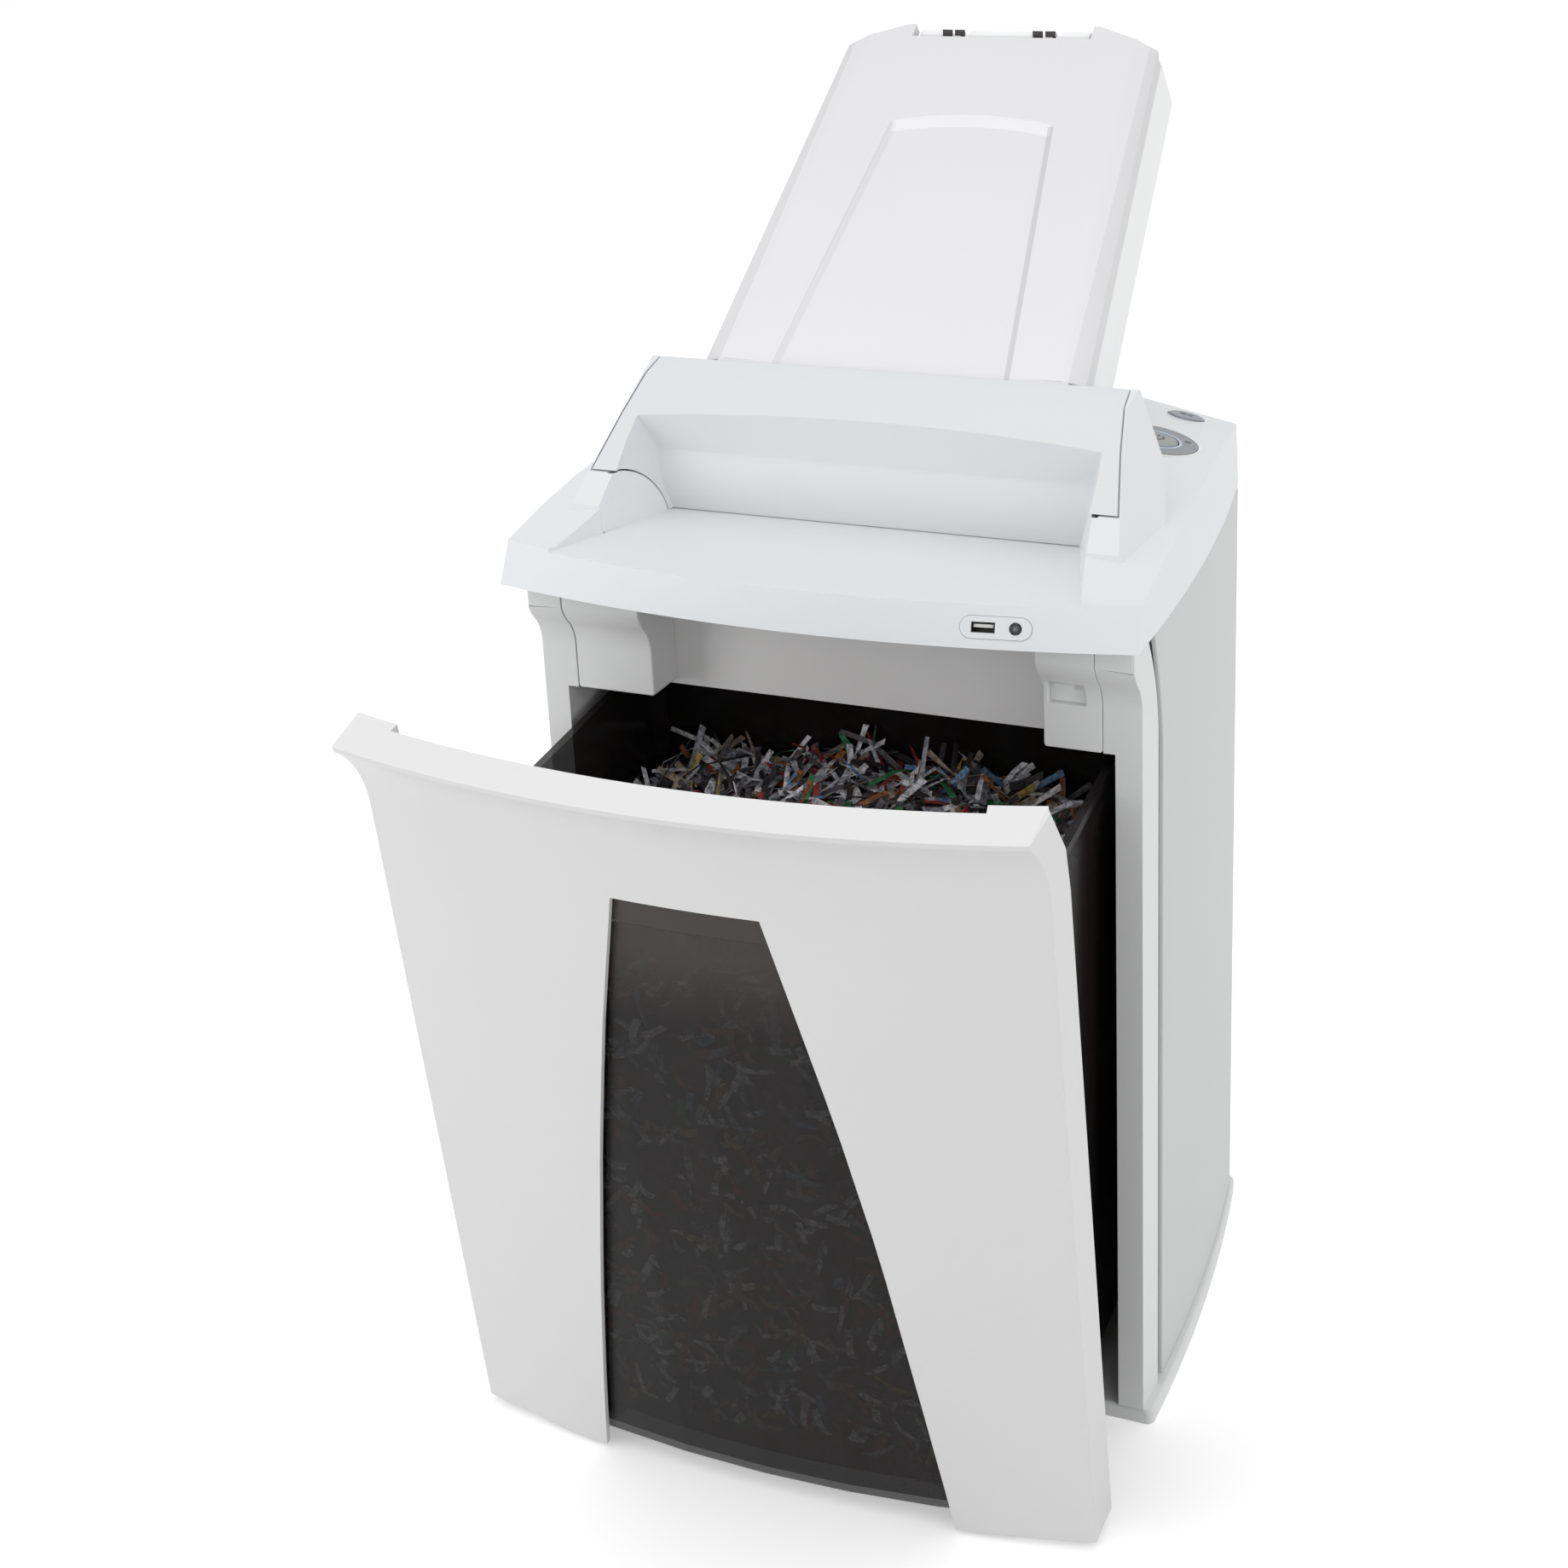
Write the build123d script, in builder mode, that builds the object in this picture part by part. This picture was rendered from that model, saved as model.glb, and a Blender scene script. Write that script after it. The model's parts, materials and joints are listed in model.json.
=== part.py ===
from build123d import *
import os
from math import atan2, cos, pi, radians, sin, tan

os.makedirs("parts", exist_ok=True)

# Sizes in millimetres. X is the viewer's right, Y runs to the back, Z is up.
# The origin is the centre of the footprint on the floor.
base_depth = 280
front = -base_depth / 2
rear = base_depth / 2
base_half_front = 196
base_half_rear = 168
pad_depth = 3
pad_side = 24
base_top = 10
wall = 3

# Cabinet
column_half = 190
column_inner = 174
shoulder_inner = 167
cabinet_half_rear = 166
side_bow = 6.5
strip_depth = 30
groove_rear = 40
head_bottom = 517.5
block_bottom = 444
inner_wall_depth = 31
inner_wall_bottom = 441

# Head
head_half = 197.3
head_half_rear = 165.5
head_overhang = 30.5
front_bow = 24
band_rise = 75
band_lean = 35
band_bow_change = 7.5
band_side_lean = 3.1
roof_front = 541.4
roof_peak = (165, 566.5)
roof_curve = 0.00073
roof_cross_slope = 0.21
roof_slope_start = -28
roof_slope_gain = 0.0022
roof_flat_half = 84
roof_reach = 210
shelf_height = 540
shelf_start = (-26, 163.5)
shelf_taper = 0.345
shelf_lean = 0.225

# Feed flap, in depth behind the column fronts and height above the floor
flap_pivot = (33, 540)
flap_half = 149.5
flap_gap = 1
cheek_radius = 32
crest = (103, 626)
fold = (86, 620)
brow = (62, 601)
cheek_foot = (16, 556)
recess = (69.5, 577)

# Paper tray, on a slope that starts behind the flap's crest
tray_start = (107, 628.3)
tray_slope = 39.3
tray_half_low = 122
tray_half_high = 104
tray_length = 268
lid_depth = 16
tray_depth = 53
hinge_along = 263
hinge_height = -8

# Bin, drawn out and tipped as it stands in the photograph
bin_tilt = 8
bin_pull = 93
glide_height = 11
panel_half = 200.5
panel_height = 437
panel_skin = 4
lip_reach = 23
panel_bow_radius = (panel_half ** 2 + front_bow ** 2) / (2 * front_bow)
bin_rim = 398
bin_half_top = 169
bin_half_low = 160
bin_depth_top = 258
bin_wall = 2.5

# Cutting mechanism
cutter_height = 482
cutter_front_depth = 82
cutter_spacing = 46
disc_radius = 25.5
disc_width = 5.4
disc_pitch = 12
disc_count = 21
shaft_radius = 9
plate_x = 132
plate_thickness = 4
gear_module = 2


def finish(piece, label):
    piece.part.label = label
    export_step(piece.part, f"parts/{label}.step")


def at(depth):
    return front + depth


def plan_outline(half_front, half_rear, y_front, y_rear, bow_front, bow_side):
    middle = ((half_front + half_rear) / 2 + bow_side, (y_front + y_rear) / 2)
    if bow_front:
        ThreePointArc((-half_front, y_front), (0, y_front - bow_front), (half_front, y_front))
    else:
        Line((-half_front, y_front), (half_front, y_front))
    ThreePointArc((half_front, y_front), middle, (half_rear, y_rear))
    Line((half_rear, y_rear), (-half_rear, y_rear))
    ThreePointArc((-half_rear, y_rear), (-middle[0], middle[1]), (-half_front, y_front))


def side_points(points):
    return [(at(depth), height) for depth, height in points]


# Base plate with rubber pads let into its underside
pad_places = [(-150, front + 34), (150, front + 34), (-132, rear - 28), (132, rear - 28)]
with BuildPart() as base_plate:
    with BuildSketch():
        with BuildLine():
            plan_outline(base_half_front, base_half_rear, front, rear, 0, side_bow)
        make_face()
    extrude(amount=base_top)
    fillet(base_plate.edges().filter_by(Axis.Z), 5)
    chamfer(base_plate.faces().sort_by(Axis.Z)[-1].edges(), 1.5)
    with BuildSketch():
        with Locations(*pad_places):
            Rectangle(pad_side, pad_side)
    extrude(amount=pad_depth, mode=Mode.SUBTRACT)
finish(base_plate, "base_plate")

with BuildPart() as rubber_pads:
    with BuildSketch():
        with Locations(*pad_places):
            Rectangle(pad_side, pad_side)
    extrude(amount=pad_depth)
finish(rubber_pads, "rubber_pads")

# Front columns, with an S-curve under the head, a shoulder beside the catch block and a recessed
# tongue behind the strip
column_step = 14
s_low = 472
s_middle = (-7, 488.8)
s_high = 500


def s_curve():
    start, middle, end = side_points([(-column_step, s_high), s_middle, (0, s_low)])
    upper = TangentArc(start, middle, tangent=(0.35, -1))
    TangentArc(middle, end, tangent=upper % 1)


def block_profile():
    Polyline(*side_points([
        (0, s_low), (0, block_bottom), (inner_wall_depth, block_bottom),
        (inner_wall_depth, head_bottom), (-column_step, head_bottom), (-column_step, s_high)]))
    s_curve()


with BuildPart() as front_column_right:
    with BuildSketch(Plane.YZ.offset(column_inner)):
        with BuildLine():
            Polyline(*side_points([(0, s_low), (0, base_top), (strip_depth, base_top), (strip_depth, 447)]))
            ThreePointArc(*side_points([(strip_depth, 447), (25, 478), (6, head_bottom)]))
            Polyline(*side_points([(6, head_bottom), (-column_step, head_bottom), (-column_step, s_high)]))
            s_curve()
        make_face()
    extrude(amount=column_half - column_inner)
    with BuildSketch(Plane.YZ.offset(shoulder_inner)):
        with BuildLine():
            block_profile()
        make_face()
    extrude(amount=column_inner - shoulder_inner)
    with BuildSketch(Plane.YZ.offset(column_inner)):
        with BuildLine():
            Polyline(*side_points([
                (5, base_top), (58, base_top), (58, head_bottom), (5, head_bottom)]), close=True)
        make_face()
    extrude(amount=8)
    fillet(front_column_right.edges().filter_by(GeomType.LINE).filter_by(Axis.Z)
           .group_by(Axis.X)[-1].sort_by(Axis.Y)[0], 2)
finish(front_column_right, "front_column_right")

with BuildPart() as front_column_left:
    mirror(front_column_right.part, about=Plane.YZ)
finish(front_column_left, "front_column_left")

# Side panels, bowed in plan, with the groove's S-curve on their front edges
with BuildPart() as side_panel_right:
    with BuildSketch(Plane.XY.offset(base_top)):
        with BuildLine():
            plan_outline(column_half, cabinet_half_rear, front, rear - 2, 0, side_bow)
        make_face()
        offset(amount=-wall, mode=Mode.SUBTRACT)
    extrude(amount=head_bottom - base_top)
    with BuildSketch(Plane.YZ.offset(100)):
        with BuildLine():
            Polyline(*side_points([(groove_rear, 440), (groove_rear, 0), (-20, 0), (-20, 540), (18, 540),
                                   (20, head_bottom)]))
            ThreePointArc(*side_points([(20, head_bottom), (33, 477), (groove_rear, 440)]))
        make_face()
    extrude(amount=120, mode=Mode.SUBTRACT)
    with Locations((-100, 0, 260)):
        Box(200 + 200, 400, 600, mode=Mode.SUBTRACT)
    with Locations((150, rear - 2, 260)):
        Box(200, 4 * wall, 600, mode=Mode.SUBTRACT)
finish(side_panel_right, "side_panel_right")

with BuildPart() as side_panel_left:
    mirror(side_panel_right.part, about=Plane.YZ)
finish(side_panel_left, "side_panel_left")

# Rear panel with cooling slots and the mains inlet's cut-out
rear_panel_y = rear - 8
inlet_place = (-110, 470)
with BuildPart() as rear_panel:
    with BuildSketch(Plane.XZ.offset(-rear_panel_y)):
        with Locations((0, (base_top + head_bottom) / 2)):
            Rectangle(2 * cabinet_half_rear, head_bottom - base_top)
        with Locations((70, 482)):
            with GridLocations(0, 7, 1, 7):
                Rectangle(90, 3, mode=Mode.SUBTRACT)
        with Locations(inlet_place):
            Rectangle(28, 22, mode=Mode.SUBTRACT)
    extrude(amount=-wall)
    fillet(rear_panel.edges().filter_by(Axis.Y).group_by(Axis.Z)[0], 4)
finish(rear_panel, "rear_panel")

with BuildPart() as power_inlet:
    with BuildSketch(Plane.XZ.offset(-rear_panel_y - wall)):
        with Locations(inlet_place):
            Rectangle(36, 30)
    extrude(amount=-2)
    with BuildSketch(Plane.XZ.offset(-rear_panel_y - wall)):
        with Locations(inlet_place):
            Rectangle(28, 22)
    extrude(amount=18)
    with BuildSketch(Plane.XZ.offset(-rear_panel_y - wall - 2)):
        with Locations(inlet_place):
            Rectangle(23, 16)
    extrude(amount=14, mode=Mode.SUBTRACT)
    with BuildSketch(Plane.XZ.offset(-rear_panel_y - wall + 12)):
        with Locations(inlet_place):
            with GridLocations(7, 0, 3, 1):
                Rectangle(2, 5)
    extrude(amount=-10)
finish(power_inlet, "power_inlet")


# Catch blocks under the head, with the same S-curve as the columns
def catch_block(x_inner, x_outer):
    with BuildPart() as block:
        with BuildSketch(Plane.YZ.offset(x_inner)):
            with BuildLine():
                block_profile()
            make_face()
        extrude(amount=x_outer - x_inner)
        fillet(block.edges().filter_by(Axis.Y).group_by(Axis.Z)[0], 2)
    return block


left_block_x = (-shoulder_inner + 0.4, -115)
right_block_x = (132, shoulder_inner - 0.4)
sensor_place = (right_block_x[0] + 14, 478)
catch_block_left = catch_block(*left_block_x)
finish(catch_block_left, "catch_block_left")

with BuildPart() as catch_block_right:
    add(catch_block(*right_block_x).part)
    with BuildSketch(Plane.XZ.offset(-at(-20))):
        with Locations(sensor_place):
            Rectangle(22, 14)
    extrude(amount=-32, mode=Mode.SUBTRACT)
finish(catch_block_right, "catch_block_right")

with BuildPart() as bin_sensor:
    with BuildSketch(Plane.XZ.offset(-at(12))):
        with Locations(sensor_place):
            Rectangle(21.6, 13.6)
    extrude(amount=8)
    with BuildSketch(Plane.XZ.offset(-at(4))):
        with Locations((sensor_place[0] - 2, sensor_place[1] + 3)):
            Rectangle(12, 3)
    extrude(amount=2)
finish(bin_sensor, "bin_sensor")

# Wall and floor that close the cutting compartment above the bin
chute = (130, 52, 160)
with BuildPart() as cutter_wall:
    with BuildSketch(Plane.XZ.offset(-at(inner_wall_depth))):
        with Locations((0, (inner_wall_bottom + head_bottom) / 2)):
            Rectangle(2 * 166, head_bottom - inner_wall_bottom)
    extrude(amount=-wall)
finish(cutter_wall, "cutter_wall")

with BuildPart() as cutter_floor:
    with BuildSketch(Plane.XY.offset(inner_wall_bottom)):
        with BuildLine():
            Polyline((-166, at(inner_wall_depth + wall)), (166, at(inner_wall_depth + wall)),
                     (158, rear_panel_y), (-158, rear_panel_y), close=True)
        make_face()
        with Locations((0, at((chute[1] + chute[2]) / 2))):
            Rectangle(2 * chute[0], chute[2] - chute[1], mode=Mode.SUBTRACT)
    extrude(amount=wall)
finish(cutter_floor, "cutter_floor")


# Head: a bowed band and an arched roof, cheeks beside the flap, a sunk feed shelf
def side_half(depth):
    share = (depth + head_overhang) / (base_depth - 2 + head_overhang)
    return head_half + (head_half_rear - head_half) * share + 4 * side_bow * share * (1 - share)


def roof_height(x, depth):
    edge = max(roof_front, roof_peak[1] - roof_curve * (depth - roof_peak[0]) ** 2)
    slope = min(roof_cross_slope, max(0, roof_slope_gain * (depth - roof_slope_start)))
    return edge + slope * (side_half(depth) - abs(x))


def roof_section(depth):
    low = roof_height(roof_reach, depth)
    high = roof_height(roof_flat_half, depth)
    with BuildSketch(Plane.XZ.offset(-at(depth))) as section:
        with BuildLine():
            Polyline((-roof_reach, 500), (roof_reach, 500), (roof_reach, low), (roof_flat_half, high),
                     (-roof_flat_half, high), (-roof_reach, low), close=True)
        make_face()
    return section.sketch


def roof_plane(x, depth):
    rise = (roof_height(x, depth + 1) - roof_height(x, depth - 1)) / 2
    return Plane(origin=(x, at(depth), roof_height(x, depth)),
                 x_dir=(1, 0, -roof_cross_slope), z_dir=(roof_cross_slope, -rise, 1))


def scoop_section(height):
    corners = []
    for depth in (-62, 78):
        half = shelf_start[1] - shelf_taper * (depth - shelf_start[0]) + shelf_lean * (height - shelf_height)
        corners += [(-half, at(depth)), (half, at(depth))]
    with BuildSketch(Plane.XY.offset(height)) as section:
        with BuildLine():
            Polyline(corners[0], corners[1], corners[3], corners[2], close=True)
        make_face()
    return section.sketch


def flap_front(inset=0):
    slope = atan2(brow[1] - cheek_foot[1], brow[0] - cheek_foot[0])
    shift = (inset * sin(slope), -inset * cos(slope))
    return [(p[0] + shift[0], p[1] + shift[1]) for p in (cheek_foot, brow, fold, crest)]


def seam_half(height):
    return 150 + 15 * (crest[1] - height) / 53


def arc_point(radius, angle):
    return (flap_pivot[0] + radius * cos(radians(angle)), flap_pivot[1] + radius * sin(radians(angle)))


cheek_start = 125
cheek_rear = 106
arm_side = 3.5
arm_angles = (28, 42)
flap_travel = 48
throat_half = 123
throat_front = 76
throat_rear = 157
roof_inner = 552
tray_seat = 553
band_top = head_bottom + band_rise

bezel_radius = 26
power_radius = 14
reverse_radius = 11.5
bezel_plane = roof_plane(142.8, 175)
reverse_plane = roof_plane(139.4, 250)
port_plane = Plane(origin=(120, at(-41.2), 528.5), x_dir=(1, 0.146, 0), z_dir=(0.146, -1, 0.407))
port_length = 40
port_width = 12.5
usb_x = -7
release_x = 11
release_radius = 3.1
pin_radius = 3
roller_shaft_radius = 4

# right-hand cheek, with a side that leans in and spreads to the back
with BuildPart() as cheek:
    with BuildSketch(Plane.YZ.offset(cheek_start)):
        with BuildLine():
            Polyline(*side_points([
                cheek_foot, brow, fold, crest, (cheek_rear, 624), (cheek_rear, 545), (16, 545)]), close=True)
        make_face()
    extrude(amount=75)
    with BuildSketch(Plane(origin=(174, at(17.6), 553), z_dir=(1, -0.334, 0.641))):
        Rectangle(400, 400)
    extrude(amount=100, mode=Mode.SUBTRACT)
    with BuildSketch(Plane.XY.offset(540)):
        with BuildLine():
            Polyline((156, at(103.5)), (175, at(89)), (184.5, at(60.5)), (230, at(60.5)),
                     (230, at(130)), (156, at(130)), close=True)
        make_face()
    extrude(amount=100, mode=Mode.SUBTRACT)

with BuildPart() as head_shell:
    with BuildSketch(Plane.XY.offset(head_bottom)):
        with BuildLine():
            plan_outline(head_half, head_half_rear, at(-head_overhang), rear - 2, front_bow, side_bow)
        make_face()
    with BuildSketch(Plane.XY.offset(band_top)):
        with BuildLine():
            plan_outline(head_half - band_side_lean, head_half_rear - band_side_lean,
                         at(band_lean - head_overhang), rear - 2, front_bow + band_bow_change, side_bow)
        make_face()
    loft(ruled=True)
    roof_depths = [-70, -22, 20, 60, 100, 140, 180, 220, 260, 300]
    loft([roof_section(depth) for depth in roof_depths], ruled=True, mode=Mode.INTERSECT)
    add(cheek.part)
    mirror(cheek.part, about=Plane.YZ)
    # sunk shelf with sloping side walls
    loft([scoop_section(shelf_height), scoop_section(606)], ruled=True, mode=Mode.SUBTRACT)
    # room for the flap behind its arc
    with BuildSketch(Plane.YZ.offset(-flap_half - flap_gap)):
        with BuildLine():
            CenterArc((at(flap_pivot[0]), flap_pivot[1]), cheek_radius, 0, 94)
            Polyline(*side_points([arc_point(cheek_radius, 94), (28, 640), (cheek_rear, 640),
                                   (cheek_rear, 540), arc_point(cheek_radius, 0)]))
        make_face()
    extrude(amount=2 * (flap_half + flap_gap), mode=Mode.SUBTRACT)
    # shallow rebate in each cheek for the flap's wings, and a pocket for its hinge arm
    for side in (1, -1):
        with BuildSketch(Plane.YZ.offset(side * flap_half)):
            with BuildLine():
                lower = flap_front(3.6)
                Polyline(*side_points([(10, 572), (10, 640), (110, 640), (110, 622), lower[2], lower[1],
                                       lower[0]]), close=True)
            make_face()
            with Locations((at(flap_pivot[0]), flap_pivot[1])):
                Circle(cheek_radius, mode=Mode.SUBTRACT)
        wing_cut = extrude(amount=side * 30, mode=Mode.PRIVATE)
        with BuildSketch(Plane.XZ.offset(-at(-20))):
            with BuildLine():
                Polyline((side * (seam_half(640) + flap_gap), 640), (side * (seam_half(560) + flap_gap), 560),
                         (side * 140, 560), (side * 140, 640), close=True)
            make_face()
        wing_side = extrude(amount=-140, mode=Mode.PRIVATE)
        add(wing_cut & wing_side, mode=Mode.SUBTRACT)
        with BuildSketch(Plane.YZ.offset(side * flap_half)):
            with Locations((at(flap_pivot[0]), flap_pivot[1])):
                Circle(19)
            with BuildLine():
                CenterArc((at(flap_pivot[0]), flap_pivot[1]), 46, arm_angles[0] - 2, flap_travel + 18)
                Polyline(*side_points([
                    arc_point(46, arm_angles[0] + flap_travel + 16), flap_pivot,
                    arc_point(46, arm_angles[0] - 2)]))
            make_face()
        extrude(amount=side * (arm_side + 1), mode=Mode.SUBTRACT)
        with BuildSketch(Plane.YZ.offset(side * (flap_half - 5))):
            with Locations((at(flap_pivot[0]), flap_pivot[1])):
                Circle(3)
        extrude(amount=side * 14, mode=Mode.SUBTRACT)
    # throat under the tray, and the hollow inside the moulding
    with BuildSketch(Plane.XY.offset(head_bottom)):
        with Locations((0, at((throat_front + throat_rear) / 2))):
            Rectangle(2 * throat_half, throat_rear - throat_front)
    extrude(amount=80, mode=Mode.SUBTRACT)
    with BuildSketch(Plane.XY.offset(tray_seat)):
        with Locations((0, at((throat_front + throat_rear + 9) / 2))):
            Rectangle(2 * throat_half + 8, throat_rear + 9 - throat_front)
    extrude(amount=80, mode=Mode.SUBTRACT)
    with BuildSketch(Plane.XY.offset(head_bottom)):
        with BuildLine():
            plan_outline(head_half - 9, head_half_rear - 4, at(-head_overhang + 9), rear - 6,
                         front_bow, side_bow)
        make_face()
    extrude(amount=shelf_height - 16 - head_bottom, mode=Mode.SUBTRACT)
    with BuildSketch(Plane.XY.offset(head_bottom)):
        with Locations((0, at((throat_rear + 6 + 266) / 2))):
            Rectangle(2 * 148, 266 - throat_rear - 6)
    extrude(amount=roof_inner - head_bottom, mode=Mode.SUBTRACT)
    # places for the bezel, the buttons and the port plate
    for place, radius, depth in (
        (bezel_plane, bezel_radius + 0.3, 2), (bezel_plane, power_radius + 1.1, 30),
        (reverse_plane, reverse_radius + 0.5, 30),
    ):
        with BuildSketch(place):
            Circle(radius)
        extrude(amount=-depth, mode=Mode.SUBTRACT)
    with BuildSketch(port_plane.offset(3)):
        SlotOverall(port_length + 0.4, port_width + 0.4)
    extrude(amount=-5, mode=Mode.SUBTRACT)
    with BuildSketch(port_plane):
        with Locations((usb_x, 0)):
            Rectangle(15, 7)
        with Locations((release_x, 0)):
            Circle(release_radius + 0.5)
    extrude(amount=-16, mode=Mode.SUBTRACT)
finish(head_shell, "head_shell")

# Controls on the right shoulder and ports on the front band
with BuildPart() as control_bezel:
    with BuildSketch(bezel_plane.offset(-2)):
        Circle(bezel_radius)
        Circle(power_radius + 0.5, mode=Mode.SUBTRACT)
    extrude(amount=2.6)
finish(control_bezel, "control_bezel")

with BuildPart() as power_button:
    with BuildSketch(bezel_plane.offset(-8)):
        Circle(power_radius)
    extrude(amount=9.2)
    chamfer(power_button.faces().filter_by(GeomType.PLANE).sort_by(Axis.Z)[-1].edges(), 1)
finish(power_button, "power_button")

with BuildPart() as reverse_button:
    with BuildSketch(reverse_plane.offset(-8)):
        Circle(reverse_radius)
    extrude(amount=9.2)
    chamfer(reverse_button.faces().filter_by(GeomType.PLANE).sort_by(Axis.Z)[-1].edges(), 1)
finish(reverse_button, "reverse_button")

with BuildPart() as port_plate:
    with BuildSketch(port_plane.offset(-2)):
        SlotOverall(port_length, port_width)
        with Locations((usb_x, 0)):
            Rectangle(13.2, 5.8, mode=Mode.SUBTRACT)
        with Locations((release_x, 0)):
            Circle(release_radius + 0.4, mode=Mode.SUBTRACT)
    extrude(amount=2.3)
finish(port_plate, "port_plate")

with BuildPart() as usb_socket:
    with BuildSketch(port_plane.offset(-12)):
        with Locations((usb_x, 0)):
            Rectangle(13.2, 5.8)
    extrude(amount=12.4)
    with BuildSketch(port_plane.offset(-9)):
        with Locations((usb_x, 0)):
            Rectangle(12.2, 4.8)
    extrude(amount=12, mode=Mode.SUBTRACT)
    with BuildSketch(port_plane.offset(-9)):
        with Locations((usb_x, 0.9)):
            Rectangle(11, 1.8)
    extrude(amount=8)
finish(usb_socket, "usb_socket")

with BuildPart() as release_button:
    with BuildSketch(port_plane.offset(-9)):
        with Locations((release_x, 0)):
            Circle(release_radius)
    extrude(amount=10)
finish(release_button, "release_button")

# Feed flap: a wedge with a scooped front, wings over the cheeks and two hinge arms
flap_radius = cheek_radius + flap_gap
brow_plane = Plane(
    origin=(0, at(brow[0]), brow[1]), x_dir=(1, 0, 0),
    z_dir=(0, cheek_foot[1] - brow[1], brow[0] - cheek_foot[0]),
)
recess_local = brow_plane.to_local_coords(Vector(0, at(recess[0]), recess[1]))
scoop_reach = 170
scoop_drop = -40


def brow_section(height, edge, bow):
    with BuildSketch(brow_plane.offset(height)) as section:
        with BuildLine():
            if bow:
                ThreePointArc((-scoop_reach, edge), (0, edge + bow), (scoop_reach, edge))
            else:
                Line((-scoop_reach, edge), (scoop_reach, edge))
            Polyline((scoop_reach, edge), (scoop_reach, scoop_drop), (-scoop_reach, scoop_drop),
                     (-scoop_reach, edge))
        make_face()
    return section.sketch


# hollow of the flap's front: a band under the bowed brow, and a gentle roll down to the slot
with BuildPart() as scoop_tool:
    with BuildSketch(Plane.YZ.offset(-scoop_reach)):
        with BuildLine():
            Polyline(*side_points([recess, (40, 607), (0, 600), (0, 525), (69.5, 525), (69.5, 541)]))
            ThreePointArc(*side_points([(69.5, 541), (66.5, 560), recess]))
        make_face()
    extrude(amount=2 * scoop_reach)
    loft([brow_section(1, -3.7, 12.2), brow_section(recess_local.Z, recess_local.Y, 0)], ruled=True)
    loft([scoop_section(520), scoop_section(616)], ruled=True, mode=Mode.INTERSECT)

with BuildPart() as feed_flap:
    with BuildSketch(Plane.YZ.offset(-flap_half)):
        with BuildLine():
            CenterArc((at(flap_pivot[0]), flap_pivot[1]), flap_radius, 0, 90)
            Polyline(*side_points([
                arc_point(flap_radius, 90), brow, fold, crest, (104, 621), (98, 552), (93, 544), (76, 541),
                arc_point(flap_radius, 0)]))
        make_face()
    extrude(amount=2 * flap_half)
    add(scoop_tool.part, mode=Mode.SUBTRACT)
    with BuildSketch(Plane.YZ.offset(-flap_half + 8)):
        with BuildLine():
            Polyline(*side_points([
                (82, 606), (97, 614), (112, 614), (112, 557), (86, 553), (76, 563), (83, 590)]), close=True)
        make_face()
    extrude(amount=2 * flap_half - 16, mode=Mode.SUBTRACT)
    for side in (1, -1):
        with BuildSketch(Plane.YZ.offset(side * (flap_half - 1))):
            with BuildLine():
                inner = flap_front(3)
                Polyline(*side_points([
                    arc_point(flap_radius, 90), brow, fold, crest, inner[3], inner[2], inner[1], inner[0]]),
                    close=True)
            make_face()
            with Locations((at(flap_pivot[0]), flap_pivot[1])):
                Circle(flap_radius, mode=Mode.SUBTRACT)
        wing = extrude(amount=side * 24, mode=Mode.PRIVATE)
        with BuildSketch(Plane.XZ.offset(-at(-20))):
            with BuildLine():
                Polyline((side * seam_half(640), 640), (side * seam_half(560), 560),
                         (side * 140, 560), (side * 140, 640), close=True)
            make_face()
        wing_side = extrude(amount=-140, mode=Mode.PRIVATE)
        add(wing & wing_side)
        with BuildSketch(Plane.YZ.offset(side * (flap_half - 1))):
            with BuildLine():
                CenterArc((at(flap_pivot[0]), flap_pivot[1]), 44, arm_angles[0],
                          arm_angles[1] - arm_angles[0])
                Polyline(*side_points([
                    arc_point(44, arm_angles[1]), flap_pivot, arc_point(44, arm_angles[0])]))
            make_face()
            with Locations((at(flap_pivot[0]), flap_pivot[1])):
                Circle(17)
            with Locations((at(flap_pivot[0]), flap_pivot[1])):
                Circle(pin_radius + 0.06, mode=Mode.SUBTRACT)
        arm = extrude(amount=side * (arm_side + 1), mode=Mode.PRIVATE)
        with BuildSketch(Plane.YZ.offset(side * (flap_half - 1))):
            with Locations((at(flap_pivot[0]), flap_pivot[1])):
                Circle(flap_radius)
        hub_room = extrude(amount=side * 1.5, mode=Mode.PRIVATE)
        add(arm - hub_room)
finish(feed_flap, "feed_flap")

with BuildPart() as flap_pins:
    for side in (1, -1):
        with BuildSketch(Plane.YZ.offset(side * (flap_half - 5))):
            with Locations((at(flap_pivot[0]), flap_pivot[1])):
                Circle(pin_radius)
        extrude(amount=side * 14)
finish(flap_pins, "flap_pins")

# Paper tray: a hollow sloped box with a hinged lid
tray_plane = Plane(
    origin=(0, at(tray_start[0]), tray_start[1]), x_dir=(1, 0, 0),
    z_dir=(0, -sin(radians(tray_slope)), cos(radians(tray_slope))),
)
tray_side_plane = Plane(origin=tray_plane.origin, x_dir=tray_plane.y_dir, z_dir=(1, 0, 0))
corner_along = 252
end_half = 64
lid_pin_radius = 2
knuckle_radius = 4.5
knuckle_x = 31
block_half = 57
pad_rise = 2.4
pad_bevel = 4


def tray_half(along):
    return tray_half_low - (tray_half_low - tray_half_high) * along / corner_along


def tray_point(along, height):
    return (tray_start[0] + along * cos(radians(tray_slope)) - height * sin(radians(tray_slope)),
            tray_start[1] + along * sin(radians(tray_slope)) + height * cos(radians(tray_slope)))


def tray_bottom(depth):
    slope = radians(tray_slope)
    return tray_start[1] + (depth - tray_start[0]) * tan(slope) - tray_depth / cos(slope)


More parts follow.
